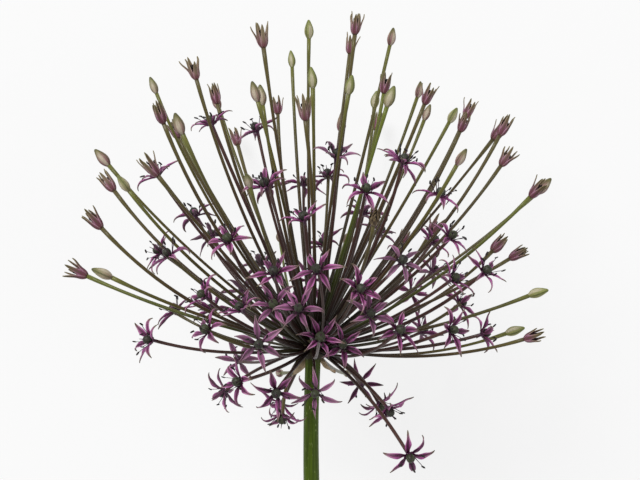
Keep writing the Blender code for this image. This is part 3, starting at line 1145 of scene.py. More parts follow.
@dataclass(frozen=True)
class ScapeFinish:
    """Waxy green with lengthwise lines and pale flecks, and a pale pith at the cut."""

    light: str = "#4b600c"
    dark: str = "#364805"
    shadow: str = "#2f3315"
    brown: str = "#3f3123"
    fleck: str = "#7f8c52"
    pith: tuple[str, str] = ("#8b9660", "#bfc29a")
    bundle: str = "#66753a"
    lines: Grain = Grain((1.3, 1.3, 0.045), 3.0)
    blots: Grain = Grain((0.25, 0.25, 0.06))
    flecks: Grain = Grain((1.5, 1.5, 0.35), 1.0)
    bundles: Grain = Grain((2.2, 2.2, 2.2), 1.0)
    light_lines: Mask = Mask(0.3, 0.7)
    shadow_blots: Mask = Mask(0.5, 0.75, 0.5)
    brown_ends: Mask = Mask(0.07, 0.0, 0.6)
    fleck_blots: Mask = Mask(0.69, 0.75, 0.7)
    pith_starts: Mask = Mask(1.03, 1.25)
    bundle_blots: Mask = Mask(0.62, 0.7, 0.7)
    shine: float = 0.18
    matt: Weights = (0.34, 0.2, 0.2)
    relief: float = 0.2 * MM

    def paint(self) -> Paint:
        """Mixes the finish.

        Returns:
            The material. Its piece's age is 1 on the cut.
        """
        paint = Paint("scape_skin", self.shine)
        along, cut = paint.value("along"), paint.value("age")
        lines, blot = paint.cloud(self.lines), paint.cloud(self.blots)
        fleck, bundle = paint.cloud(self.flecks), paint.cloud(self.bundles)
        body = paint.blend(self.dark, self.light, lines.over(self.light_lines))
        body = paint.blend(body, self.shadow, blot.over(self.shadow_blots))
        body = paint.blend(body, self.brown, along.over(self.brown_ends))
        body = paint.blend(body, self.fleck, fleck.over(self.fleck_blots))
        pith = paint.blend(*self.pith, along.over(self.pith_starts))
        pith = paint.blend(pith, self.bundle, bundle.over(self.bundle_blots))
        paint.feed("Base Color", paint.blend(body, pith, cut))
        paint.roughen(self.matt, self.relief, lines, cut)
        return paint


@dataclass(frozen=True)
class SheathFinish:
    """Dry tan paper with fine parallel veins."""

    paper: Stops = ((0.0, "#7f6a4d"), (0.3, "#b59b7b"), (0.8, "#c4af94"), (1.0, "#967a5d"))
    vein: str = "#83684a"
    veins: Grain = Grain((3.0, 1.0, 0.08))
    vein_lines: Mask = Mask(0.5, 0.75, 0.6)
    shine: float = 0.2
    roughness: float = 0.75
    relief: float = 0.2 * MM

    def paint(self) -> Paint:
        """Mixes the finish.

        Returns:
            The material.
        """
        paint = Paint("sheath_paper", self.shine, self.roughness)
        veins = paint.cloud(self.veins)
        body = paint.ramp(paint.value("along"), self.paper)
        paint.feed("Base Color", paint.blend(body, self.vein, veins.over(self.vein_lines)))
        paint.bump(veins, self.relief)
        return paint


# Meshes ----------------------------------------------------------------------------------------


def no_edge(_share: float) -> float:
    """Across, for a round part without a middle line."""
    return 0.0


def from_middle(share: float) -> float:
    """Across, for a blade: 0 on its middle line and 1 at both edges."""
    return abs(2 * share - 1)


class Skin:
    """Points, faces and shading values of one piece, gathered part by part.

    along runs from 0 at a part's foot to 1 at its tip. across is 0 on its middle line and 1 at its
    edge. tone is drawn once for each part. What age marks is said by the piece's finish. grain
    holds the part's own millimetres.
    """

    VALUES = ("along", "across", "tone", "age")
    GRAIN_SHIFT = Vector((53.0, 71.0, 97.0))  # so that no two parts have the same grain
    FLAT_ROW = 4  # how wide a flat row is, as a share of its points' mean distance from its middle
    CLEARANCE = 0.05 * MM  # how far every point stays above the surface that the head lies on

    def __init__(self, name: str) -> None:
        """Starts an empty skin."""
        self.name = name
        self.points: list[Vector] = []
        self.faces: list[tuple[int, ...]] = []
        self.values: dict[str, list[float]] = {key: [] for key in self.VALUES}
        self.grains: list[float] = []

    def loft(
        self,
        rows: Sequence[Sequence[Vector]],
        alongs: Sequence[float],
        across: Callable[[float], float],
        tone: float,
        age: float | Sequence[float] = 0.0,
        wrap: bool = True,
    ) -> None:
        """Spans faces between rows of points.

        Args:
            rows: The rows, from foot to tip, each with the same number of points.
            alongs: One value of along for each row.
            across: The value of across at a share of the way through a row.
            tone: The part's tone.
            age: The part's age, or one for each row.
            wrap: Whether each row closes on itself. The ends are then closed too.
        """
        first = len(self.points)
        wide = len(rows[0])
        ages = [age] * len(rows) if isinstance(age, (int, float)) else age
        shift = self.GRAIN_SHIFT * tone
        travelled = 0.0
        last: Vector | None = None
        for row, along, row_age in zip(rows, alongs, ages):
            middle = sum(row, Vector()) / wide
            travelled += (middle - last).length if last else 0.0
            last = middle
            radius = sum((point - middle).length for point in row) / wide
            for number, point in enumerate(row):
                share = number / (wide if wrap else wide - 1)
                angle = math.tau * share
                if wrap:
                    own = Vector((radius * math.cos(angle), radius * math.sin(angle), travelled))
                else:
                    own = Vector(((share - 0.5) * self.FLAT_ROW * radius, 0.0, travelled))
                self.points.append(point)
                self.grains.extend(own / MM + shift)
                for key, number_there in zip(self.VALUES, (along, across(share), tone, row_age)):
                    self.values[key].append(number_there)
        for step in range(len(rows) - 1):
            base = first + step * wide
            for number in range(wide if wrap else wide - 1):
                after = (number + 1) % wide
                corners = (base + number, base + after, base + wide + after, base + wide + number)
                self.faces.append(corners)
        if wrap:
            top = first + (len(rows) - 1) * wide
            self.faces.append(tuple(first + wide - 1 - number for number in range(wide)))
            self.faces.append(tuple(top + number for number in range(wide)))

    def piece(
        self, place: Vector, paint: Paint, slot: str, thickness: float = 0.0
    ) -> bpy.types.Object:
        """Makes the piece, and has it ride on the part.

        Args:
            place: Where the knob stands.
            paint: The piece's finish.
            slot: The slot of the part's record that the finish belongs to. It is not used.
            thickness: How thick a sheet is, or 0 for a closed form.

        Returns:
            The piece.
        """
        floor = -RULE.knob_height + self.CLEARANCE
        mesh = bpy.data.meshes.new(self.name)
        points = [(point.x, point.y, max(point.z, floor)) for point in self.points]
        mesh.from_pydata(points, [], self.faces)
        for key, numbers in self.values.items():
            mesh.attributes.new(key, "FLOAT", "POINT").data.foreach_set("value", numbers)
        grains = mesh.attributes.new("grain", "FLOAT_VECTOR", "POINT")
        grains.data.foreach_set("vector", self.grains)
        mesh.polygons.foreach_set("use_smooth", [True] * len(mesh.polygons))
        mesh.materials.append(paint.material)
        mesh.update()
        made = bpy.data.objects.new(self.name, mesh)
        bpy.context.scene.collection.objects.link(made)
        made.location = place
        if thickness:
            sheet = made.modifiers.new("thickness", "SOLIDIFY")
            sheet.thickness = thickness
            sheet.offset = 0.0
        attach(made, "root")
        triangles = sum(len(face) - 2 for face in self.faces)
        log.info("%s: %d triangles%s", self.name, triangles, " a side" if thickness else "")
        return made


def tube(
    path: Sequence[Vector], radii: Sequence[float], sides: int, flat: float = 1.0
) -> list[list[Vector]]:
    """Makes round rows along a path, with no twist between them.

    Args:
        path: The points that the tube follows.
        radii: Its radius at each point.
        sides: The points of a row.
        flat: The other radius, as a share of the first.

    Returns:
        The rows.
    """
    rows = []
    turn: Quaternion | None = None
    ahead: Vector | None = None
    for number, (point, radius) in enumerate(zip(path, radii)):
        before, after = path[max(0, number - 1)], path[min(len(path) - 1, number + 1)]
        last, ahead = ahead, (after - before).normalized()
        bent = (last or FORWARD).rotation_difference(ahead)
        turn = bent @ turn if turn else bent
        rows.append(ring(Matrix.LocRotScale(point, turn, None), 0.0, radius, sides, flat))
    return rows


@dataclass(frozen=True)
class Anther:
    """A small rounded grain on the end of a thread."""

    length: float = 2.5 * MM
    half_width: float = 0.55 * MM
    bluntness: float = 0.8
    flat: float = 0.72
    rows: int = 8
    sides: int = 8
    ends: float = 0.35  # how far the first and the last row stand from the ends, in rows

    def add(self, skin: Skin, at: Vector, lie: Vector, tone: float, size: float) -> None:
        """Adds one anther.

        Args:
            skin: The skin that it goes to.
            at: Its middle.
            lie: The way that it lies.
            tone: Its tone.
            size: Its size as a share of the usual one.
        """
        place = facing_place(at, lie.normalized())
        rows, alongs = [], []
        for step in range(self.rows):
            angle = math.pi * (step + self.ends) / (self.rows - 1 + 2 * self.ends)
            far = -math.cos(angle) * self.length * size / 2
            half = math.sin(angle) ** self.bluntness * self.half_width * size
            rows.append(ring(place, far, half, self.sides, self.flat))
            alongs.append(step / (self.rows - 1))
        skin.loft(rows, alongs, no_edge, tone, 1.0)


# The sub-assemblies ----------------------------------------------------------------------------


@dataclass
class Stalks:
    """The stalks, with the green cup that each open floret stands in."""

    seed: int = 5
    sides: int = 10
    steps: int = 20
    foot: float = 0.80 * MM
    waist: float = 0.80 * MM
    neck: float = 1.08 * MM
    open_neck: float = 1.08  # a share of the waist
    neck_starts: float = 0.84
    waist_ends: float = 0.35
    girths: tuple[float, float] = (0.84, 1.12)
    cup: Line = ((0.1, 1.1), (0.5, 1.75), (0.9, 2.1), (1.25, 1.6))  # ahead and radius, in mm
    cup_along: float = 0.1  # how much along grows to a millimetre of the cup
    ages: Mapping[Stage, float] = field(
        default_factory=lambda: {Stage.OPEN: 1.0, Stage.OPENING: 0.45, Stage.CLOSED: 0.0}
    )
    finish: StalkFinish = StalkFinish()

    def build(self, head: Head, place: Vector) -> None:
        """Makes every stalk as one piece, which stands for the whole umbel's solid.

        Args:
            head: The florets.
            place: Where the knob stands.
        """
        skin = Skin("stalks")
        draw = random.Random(self.seed)
        for floret in head.florets:
            self._grow(skin, floret, draw.random(), draw.uniform(*self.girths))
        made = skin.piece(place, self.finish.paint(), "umbel")
        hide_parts("umbel")

    def _grow(self, skin: Skin, floret: Floret, tone: float, girth: float) -> None:
        """Adds one stalk, and the cup at its end if its floret is open.

        Args:
            skin: The skin that it goes to.
            floret: The stalk's floret.
            tone: The stalk's tone.
            girth: How thick it is below its neck, as a share of the usual thickness.
        """
        is_open = floret.stage is Stage.OPEN
        alongs = shares_of(self.steps)
        path = [floret.point(share) for share in alongs]
        neck = self.waist * self.open_neck if is_open else self.neck * floret.size
        radii = []
        for share in alongs:
            widened = (self.waist - self.foot) * ease(0.0, self.waist_ends, share)
            radius = girth * (self.foot + widened)
            radii.append(radius + (neck - radius) * ease(self.neck_starts, 1.0, share))
        rows = tube(path, radii, self.sides)
        if is_open:
            ahead = floret.nodding()
            for at, radius in self.cup:
                here = facing_place(floret.end + ahead * at * MM, ahead)
                rows.append(ring(here, 0.0, radius * MM, self.sides))
                alongs.append(1.0 + at * self.cup_along)
        skin.loft(rows, alongs, no_edge, tone, self.ages[floret.stage])


@dataclass
class Knob:
    """The lumpy knob that the stalks grow from, flat below where the scape meets it."""

    sides: int = 40
    rings: int = 24
    squash: float = 0.95
    starts: float = 38  # degrees from the way down
    spans: float = 139
    lumps: Line = ((4.5, 0.05), (13, 0.035))  # how fine and how high
    tone: float = 0.5
    finish: KnobFinish = KnobFinish()

    def build(self, place: Vector) -> None:
        """Makes the knob.

        Args:
            place: Where it stands.
        """
        skin = Skin("knob")
        upright = Matrix.Rotation(math.radians(-90), 4, "X")
        rows = []
        for step in range(self.rings + 1):
            angle = math.radians(self.starts) + math.radians(self.spans) * step / self.rings
            row = []
            for here in ring(Matrix.Identity(4), -math.cos(angle), math.sin(angle), self.sides):
                lump = sum(noise.noise(here * fine) * high for fine, high in self.lumps)
                row.append(upright @ (here * RULE.knob_radius * self.squash * (1 + lump)))
            rows.append(row)
        skin.loft(rows, shares_of(self.rings), no_edge, self.tone)
        skin.piece(place, self.finish.paint(), "umbel")


@dataclass
class Tepals:
    """The six narrow tepals of each open floret, arched, channelled and curled at their tips."""

    seed: int = 17
    half_width: float = 1.56 * MM
    thickness: float = 0.26 * MM
    plump: tuple[float, float] = (0.76, 1.06)
    curl: tuple[float, float] = (-64, 40)
    curl_starts: float = 0.55
    sway: float = 0.25
    twist: float = 78
    twist_late: float = 1.5  # above 1, the twist gathers towards the tip
    inset: float = 0.5 * MM
    inner_ahead: float = 0.25 * MM
    inner_width: float = 0.93
    cupping: float = 0.5
    ruffle: tuple[float, float] = (13, 0.16)  # how fast it waves and how high
    other_edge: float = 2.2  # how far the wave of one edge runs ahead of the other's
    channel: tuple[float, float] = (0.3, 0.10 * MM)  # how wide it is and how deep
    steps: int = 14
    columns: int = 7
    rise: Line = ((0.0, 26), (0.19, 14), (0.56, 0), (0.87, -16), (1.0, -32))
    widths: Line = (
        (0.0, 0.46),
        (0.10, 0.50),
        (0.24, 0.78),
        (0.38, 1.0),
        (0.50, 0.96),
        (0.64, 0.72),
        (0.79, 0.44),
        (0.91, 0.25),
        (1.0, 0.07),
    )
    finish: TepalFinish = TepalFinish()

    def build(self, head: Head, place: Vector) -> None:
        """Makes all the tepals as one piece, which stands for the open florets' solids.

        Args:
            head: The florets.
            place: Where the knob stands.
        """
        skin = Skin("tepals")
        draw = random.Random(self.seed)
        for floret in head.at_stage(Stage.OPEN):
            fade, plump = draw.random(), draw.uniform(*self.plump)
            for number in range(RULE.tepals):
                self._grow(skin, floret, number, fade, plump, draw)
        made = skin.piece(place, self.finish.paint(), "tepal", self.thickness)
        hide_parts(*(f"open_floret_{number:02d}" for number in range(1, OPEN_NODES + 1)))

    def _grow(
        self,
        skin: Skin,
        floret: Floret,
        number: int,
        fade: float,
        plump: float,
        draw: random.Random,
    ) -> None:
        """Adds one tepal.

        Args:
            skin: The skin that it goes to.
            floret: Its floret.
            number: Its number round the floret.
            fade: How far the floret has faded, from 0 to 1.
            plump: How broad the floret's tepals are, as a share of the usual width.
            draw: The draw for its curl, sway and twist.
        """
        bent, long = floret.tepals[number]
        curl, sway = draw.uniform(*self.curl), draw.uniform(-self.sway, self.sway)
        twist = math.radians(draw.uniform(-self.twist, self.twist))
        wave = draw.uniform(0, math.tau)
        inner = number % 2 == 0
        out_way, side_way = outward(tepal_angle(number))
        place = floret.place()
        length = RULE.tepal_length * long
        out = RULE.foot_out - self.inset
        ahead = RULE.ring_depth / 2 + (self.inner_ahead if inner else 0.0)
        rows, alongs = [], shares_of(self.steps)
        for share in alongs:
            bowed = flow(self.rise, share) + curl * ease(self.curl_starts, 1.0, share)
            slope = math.radians(floret.lift + bent + bowed)
            if share:
                out += math.cos(slope) * length / self.steps
                ahead += math.sin(slope) * length / self.steps
            middle = out_way * out + FORWARD * ahead + side_way * sway * length * share * share
            normal = FORWARD * math.cos(slope) - out_way * math.sin(slope)
            lean = twist * share**self.twist_late
            across = side_way * math.cos(lean) + normal * math.sin(lean)
            upward = normal * math.cos(lean) - side_way * math.sin(lean)
            half = self.half_width * plump * flow(self.widths, share)
            half *= self.inner_width if inner else 1.0
            row = []
            for at in sides_of(self.columns):
                raised = self._raised(at, share, wave, half)
                row.append(place @ (middle + across * half * at + upward * raised))
            rows.append(row)
        skin.loft(rows, alongs, from_middle, draw.random(), fade, wrap=False)

    def _raised(self, at: float, share: float, wave: float, half: float) -> float:
        """Finds how far a point of the blade is raised over its flat middle.

        Args:
            at: How far across it is, from -1 to 1.
            share: How far along it is.
            wave: Where the ruffle starts.
            half: Half the blade's width there.

        Returns:
            The height of its cupped and ruffled side, less the channel along its middle.
        """
        fast, high = self.ruffle
        ruffle = math.sin(share * fast + wave + (self.other_edge if at > 0 else 0.0)) * high
        wide, deep = self.channel
        cupped = half * (self.cupping * at * at + ruffle * abs(at) ** 3)
        return cupped - deep * hump(at, wide)


@dataclass
class Stamens:
    """Six stamens to each open floret: a thread on a broad foot, with an anther on its end."""

    seed: int = 29
    foot: float = 0.5 * MM
    thread: float = 0.20 * MM
    foot_ends: float = 0.42
    flat: float = 0.7
    steps: int = 8
    sides: int = 6
    root: tuple[float, float] = (2.0, 0.8)  # out and ahead, in mm, as in the next four
    bend: float = 2.4
    out: tuple[float, float] = (3.8, 7.2)
    high: tuple[float, float] = (4.2, 7.8)
    stray: float = 1.4
    bend_shares: tuple[float, float] = (0.2, 0.62)
    jitter: float = 12
    anther_wildness: float = 0.7
    anther_sizes: tuple[float, float] = (0.82, 1.12)
    anther: Anther = Anther()
    finish: StamenFinish = StamenFinish()

    def build(self, head: Head, place: Vector) -> None:
        """Makes all the stamens as one piece.

        Args:
            head: The florets.
            place: Where the knob stands.
        """
        skin = Skin("stamens")
        draw = random.Random(self.seed)
        for floret in head.at_stage(Stage.OPEN):
            for number in range(RULE.tepals):
                self._grow(skin, floret, number, draw)
        skin.piece(place, self.finish.paint(), "tepal")

    def _grow(self, skin: Skin, floret: Floret, number: int, draw: random.Random) -> None:
        """Adds one stamen.

        Args:
            skin: The skin that it goes to.
            floret: Its floret.
            number: Its number round the floret.
            draw: The draw for its own form.
        """
        jitter = draw.uniform(-self.jitter, self.jitter)
        out_way, side_way = outward(tepal_angle(number, jitter))
        place = floret.place()
        far, high = draw.uniform(*self.out) * MM, draw.uniform(*self.high) * MM
        root_out, root_ahead = self.root
        share_out, share_high = self.bend_shares
        foot = out_way * root_out * MM + FORWARD * root_ahead * MM
        handle = out_way * (self.bend * MM + far * share_out) + FORWARD * high * share_high
        aside = side_way * draw.uniform(-self.stray, self.stray) * MM
        tip = out_way * far + FORWARD * high + aside
        shares = shares_of(self.steps)
        path = [place @ curve_point(foot, handle, tip, share) for share in shares]
        broad = [1 - ease(0.0, self.foot_ends, share) for share in shares]
        radii = [self.thread + (self.foot - self.thread) * much for much in broad]
        tone = draw.random()
        skin.loft(tube(path, radii, self.sides, self.flat), shares, no_edge, tone, 0.0)
        wild = Vector((draw.uniform(-1, 1), draw.uniform(-1, 1), draw.uniform(-1, 1)))
        lie = (path[-1] - path[-2]).normalized() + wild * self.anther_wildness
        self.anther.add(skin, path[-1], lie, tone, draw.uniform(*self.anther_sizes))


@dataclass
class Ovaries:
    """The dark round ovary in the middle of each open floret, in three lobes, with its style."""

    seed: int = 41
    sides: int = 24
    lobes: int = 3
    sizes: tuple[float, float] = (0.84, 1.02)
    swell: float = 0.045
    furrow: tuple[float, float] = (0.16, 0.055)  # how wide it is and how deep
    lobed_from: tuple[float, float] = (0.6, 1.8)  # the radii, in mm, where the lobes fade in
    profile: Line = (
        (0.9, 0.9),
        (1.2, 1.45),
        (1.8, 2.02),
        (2.6, 2.36),
        (3.4, 2.42),
        (4.2, 2.20),
        (4.8, 1.75),
        (5.2, 1.15),
        (5.4, 0.55),
        (5.6, 0.26),
        (6.4, 0.19),
        (7.4, 0.16),
        (7.6, 0.08),
    )
    finish: OvaryFinish = OvaryFinish()

    def build(self, head: Head, place: Vector) -> None:
        """Makes all the ovaries as one piece.

        Args:
            head: The florets.
            place: Where the knob stands.
        """
        skin = Skin("ovaries")
        draw = random.Random(self.seed)
        for floret in head.at_stage(Stage.OPEN):
            self._grow(skin, floret.place(), draw.uniform(*self.sizes), draw.random())
        skin.piece(place, self.finish.paint(), "umbel")

    def _grow(self, skin: Skin, place: Matrix, size: float, tone: float) -> None:
        """Adds one ovary.

        Args:
            skin: The skin that it goes to.
            place: Its floret's place.
            size: Its size as a share of the usual one.
            tone: Its tone.
        """
        rows, alongs = [], []
        for ahead, radius in self.profile:
            lobed = ease(*self.lobed_from, radius)

            def reach(angle: float, radius: float = radius, lobed: float = lobed) -> float:
                """The ovary's radius at an angle."""
                return radius * (1 + self._lobe(angle) * lobed) * size * MM

            rows.append(ring(place, ahead * MM, reach, self.sides))
            alongs.append(ahead / self.profile[-1][0])
        skin.loft(rows, alongs, lambda share: abs(math.sin(math.pi * self.lobes * share)), tone)

    def _lobe(self, angle: float) -> float:
        """How far the lobes and furrows stand out at an angle, as a share of the radius."""
        wide, deep = self.furrow
        furrow = hump(math.sin(self.lobes * angle / 2), wide)
        return self.swell * math.cos(self.lobes * angle) - deep * furrow


@dataclass
class ClosedBuds:
    """The closed buds: slim spindles with the seams of their folded tepals."""

    seed: int = 53
    sides: int = 24
    folds: int = 3
    lean: float = 0.8
    twist: float = 0.5
    slimness: tuple[float, float] = (0.86, 1.02)
    seam: tuple[float, float] = (0.17, 0.10)  # how wide it is and how deep
    seam_fades_in: tuple[float, float] = (0.05, 0.3)
    fold: tuple[float, float] = (0.2, 0.03)  # how wide it is and how high
    profile: Line = (
        (0.0, 1.06),
        (0.35, 1.30),
        (1.0, 1.72),
        (1.9, 2.14),
        (2.9, 2.40),
        (3.9, 2.48),
        (5.0, 2.36),
        (6.1, 2.08),
        (7.2, 1.70),
        (8.2, 1.30),
        (9.0, 0.94),
        (9.6, 0.60),
        (9.9, 0.20),
    )
    finish: BudFinish = BudFinish()

    def build(self, head: Head, place: Vector) -> None:
        """Makes all the closed buds as one piece.

        Args:
            head: The florets.
            place: Where the knob stands.
        """
        skin = Skin("closed_buds")
        draw = random.Random(self.seed)
        for floret in head.at_stage(Stage.CLOSED):
            self._grow(skin, floret, draw)
        skin.piece(place, self.finish.paint(), "umbel")

    def _grow(self, skin: Skin, floret: Floret, draw: random.Random) -> None:
        """Adds one bud, a little bent and twisted.

        Args:
            skin: The skin that it goes to.
            floret: The bud's place on the head.
            draw: The draw for its own form.
        """
        here = floret.place()
        lean = Vector((draw.uniform(-1, 1), draw.uniform(-1, 1), 0)) * self.lean * MM
        twist = draw.uniform(-self.twist, self.twist)
        slim = draw.uniform(*self.slimness) * floret.size * MM
        rows, alongs = [], []
        for ahead, radius in self.profile:
            share = ahead / self.profile[-1][0]

            def reach(angle: float, radius: float = radius, share: float = share) -> float:
                """The bud's radius at an angle."""
                return radius * slim * self._fold(angle + twist * share, share)

            forward = ahead * floret.size * MM
            rows.append(ring(here, forward, reach, self.sides, aside=lean * share * share))
            alongs.append(share)
        skin.loft(
            rows, alongs, lambda share: abs(math.cos(self.folds * math.pi * share)), draw.random()
        )

    def _fold(self, angle: float, share: float) -> float:
        """Finds how the seams and folds change the radius.

        Args:
            angle: The angle round the bud.
            share: How far along the bud it is.

        Returns:
            The radius as a share of the round one.
        """
        (seam_wide, seam_deep), (fold_wide, fold_high) = self.seam, self.fold
        turn = self.folds * angle / 2
        seam, fold = hump(math.sin(turn), seam_wide), hump(math.cos(turn), fold_wide)
        return 1 - seam_deep * seam * ease(*self.seam_fades_in, share) + fold_high * fold


@dataclass
class OpeningFlorets:
    """Florets that are just opening: a rounded cup of six pointed tepals, like a small claw."""

    seed: int = 67
    steps: int = 14
    columns: int = 7
    thickness: float = 0.3 * MM
    withered: int = 1
    reach: tuple[float, float] = (10.6, 11.8)  # of the outer and the inner tepals, in mm
    reach_range: tuple[float, float] = (0.90, 1.02)
    tip_out: tuple[float, float] = (3.7, 2.3)  # of the outer and the inner tepals, in mm
    tip_range: tuple[float, float] = (0.75, 1.25)
    tip_starts: float = 0.34
    dry_tip: float = 0.55
    curl: tuple[float, float] = (-0.6, 0.9)
    curl_starts: float = 0.82
    curl_out: float = 0.6
    sway: float = 0.7
    inner_inset: float = 0.22
    bow: float = 2.7
    keel: tuple[float, float] = (0.25, 0.12)  # how wide it is and how high
    crumple: tuple[float, float] = (0.55, 1.1)  # how fine it is and how deep
    shared_tone: float = 0.75
    stamen: float = 0.16 * MM
    stamen_steps: int = 3
    stamen_sides: int = 6
    stamen_foot: tuple[float, float] = (0.7, 1.0)  # out and ahead, in mm
    stamen_out: tuple[float, float] = (0.9, 1.3)
    stamen_ahead: tuple[float, float] = (6.2, 7.6)
    belly: Line = (
        (0.0, 0.75),
        (0.08, 1.50),
        (0.18, 2.08),
        (0.32, 2.52),
        (0.46, 2.66),
        (0.60, 2.66),
    )
    widths: Line = (
        (0.0, 0.75),
        (0.10, 1.22),
        (0.24, 1.46),
        (0.38, 1.34),
        (0.52, 1.08),
        (0.70, 0.82),
        (0.86, 0.58),
        (0.95, 0.34),
        (1.0, 0.12),
    )
    anther: Anther = Anther(1.8 * MM, 0.42 * MM)
    finish: OpeningFinish = OpeningFinish()
    anther_finish: StamenFinish = StamenFinish("young_anther")

    def build(self, head: Head, place: Vector) -> None:
        """Makes all the opening florets as one piece, and their anthers as another.

        Args:
            head: The florets.
            place: Where the knob stands.
        """
        skin, anthers = Skin("opening_florets"), Skin("opening_anthers")
        draw = random.Random(self.seed)
        florets = head.at_stage(Stage.OPENING)
        upper = [floret for floret in florets if floret.end.z > 0]
        oldest = sorted(upper, key=lambda floret: floret.end.xy.length)[: self.withered]
        for floret in florets:
            tone = draw.random()
            for number in range(RULE.tepals):
                self._grow(skin, floret, number, tone, floret in oldest, draw)
                self._add_anther(anthers, floret, number, draw)
        skin.piece(place, self.finish.paint(), "umbel", self.thickness)
        anthers.piece(place, self.anther_finish.paint(), "umbel")

    def _grow(
        self, skin: Skin, floret: Floret, number: int, tone: float, dry: bool, draw: random.Random
    ) -> None:
        """Adds one tepal of an opening floret.

        Args:
            skin: The skin that it goes to.
            floret: Its floret.
            number: Its number round the floret, even for the outer ones.
            tone: The floret's tone.
            dry: Whether the floret has withered.
            draw: The draw for its small differences.
        """
        here = floret.place()
        inner = number % 2
        turned = Matrix.Rotation(math.radians(360 / RULE.tepals * number), 3, "Z")
        size = floret.size * MM
        reach = self.reach[inner] * draw.uniform(*self.reach_range)
        tip_out = self.tip_out[inner] * floret.spread * draw.uniform(*self.tip_range)
        tip_out *= self.dry_tip if dry else 1.0
        curl, sway = draw.uniform(*self.curl), draw.uniform(-self.sway, self.sway)
        (keel_wide, keel_high), (fine, deeply) = self.keel, self.crumple
        rows, alongs = [], shares_of(self.steps)
        for share in alongs:
            belly = flow(self.belly, share) - self.inner_inset * inner
            out = belly + (tip_out - belly) * ease(self.tip_starts, 1.0, share)
            out += curl * ease(self.curl_starts, 1.0, share) * self.curl_out
            half = flow(self.widths, share)
            row = []
            for at in sides_of(self.columns):
                turn = at * half / self.bow
                deep = out - self.bow * (1 - math.cos(turn)) + keel_high * hump(at, keel_wide)
                aside = self.bow * math.sin(turn) + sway * share * share
                point = turned @ Vector((deep, aside, reach * share))
                if dry:
                    spot = point * fine + Vector((floret.index, number, 0))
                    point += noise.noise_vector(spot) * deeply * share
                row.append(here @ (point * size))
            rows.append(row)
        own = self.shared_tone * tone + (1 - self.shared_tone) * draw.random()
        skin.loft(rows, alongs, from_middle, own, float(dry), wrap=False)

    def _add_anther(self, skin: Skin, floret: Floret, number: int, draw: random.Random) -> None:
        """Adds a stamen that still stands inside the cup.

        Args:
            skin: The skin that it goes to.
            floret: Its floret.
            number: Its number round the floret.
            draw: The draw for its own form.
        """
        here = floret.place()
        turned = Matrix.Rotation(tepal_angle(number), 3, "Z")
        size = floret.size * MM
        tip_out, tip_ahead = draw.uniform(*self.stamen_out), draw.uniform(*self.stamen_ahead)
        tip = turned @ Vector((tip_out, 0, tip_ahead))
        foot = turned @ Vector((self.stamen_foot[0], 0, self.stamen_foot[1]))
        shares = shares_of(self.stamen_steps)
        path = [here @ (foot.lerp(tip, share) * size) for share in shares]
        tone = draw.random()
        rows = tube(path, [self.stamen] * len(path), self.stamen_sides)
        skin.loft(rows, shares, no_edge, tone, 0.0)
        self.anther.add(skin, path[-1], floret.facing(), tone, 1.0)


@dataclass
class Scape:
    """The green stem, from under the knob to its clean cut end."""

    sides: int = 44
    steps: int = 70
    into_knob: float = 0.0022
    tone: float = 0.3
    ribs: tuple[tuple[int, float, float], ...] = ((9, 0.006, 0), (14, 0.004, 40))
    inset: float = 0.010  # a share of the radius, for the ribs to stay inside the solid
    line: tuple[tuple[float, float, float], ...] = (
        (0.0063, 0.0, 0.0039),
        (0.034, -0.0009, 0.0038),
        (0.066, -0.0008, 0.0040),
        (0.100, 0.0003, 0.0042),
    )
    cut: Line = ((0.97, 0.0), (0.90, 0.0001), (0.80, 0.0003), (0.4, 0.0005), (0.02, 0.0005))
    finish: ScapeFinish = ScapeFinish()

    def knob_place(self) -> Vector:
        """Where the knob stands, as the scape's solid shows."""
        low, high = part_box("scape")
        lowest_side = min(lean - radius for _, lean, radius in self.line)
        return Vector((low[0] - lowest_side, high[1] + self.line[0][0], RULE.knob_height))

    def build(self, place: Vector) -> None:
        """Makes the scape with its faint ribs and its cut end.

        Args:
            place: Where the knob stands.
        """
        skin = Skin("scape_skin")
        alongs = shares_of(self.steps)
        leans = [(down, lean) for down, lean, _ in self.line]
        radii = [(down, radius) for down, _, radius in self.line]
        top, end = self.line[0][0] - self.into_knob, self.line[-1][0]
        downs = [top + (end - top) * share for share in alongs]
        rows = [self._row(down, flow(leans, down), flow(radii, down)) for down in downs]
        ages = [0.0] * len(rows) + [1.0] * len(self.cut)
        for inset, back in self.cut:
            rows.append(self._row(end - back, leans[-1][1], radii[-1][1] * inset))
            alongs.append(1.0 + (1 - inset))
        skin.loft(rows, alongs, no_edge, self.tone, ages)
        made = skin.piece(place, self.finish.paint(), "scape")
        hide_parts("scape")

    def _row(self, down: float, lean: float, radius: float) -> list[Vector]:
        """Makes one row of points round the scape, with its faint ribs.

        Args:
            down: How far down from the knob it is.
            lean: How far its middle stands to the side.
            radius: Its radius.

        Returns:
            The points.
        """
        row = []
        for number in range(self.sides):
            angle = math.tau * number / self.sides
            ribbed = sum(
                high * math.sin(count * angle + turn * down) for count, high, turn in self.ribs
            )
            wide = radius * (1 + ribbed - self.inset)
            row.append(Vector((lean + wide * math.cos(angle), -down, wide * math.sin(angle))))
        return row


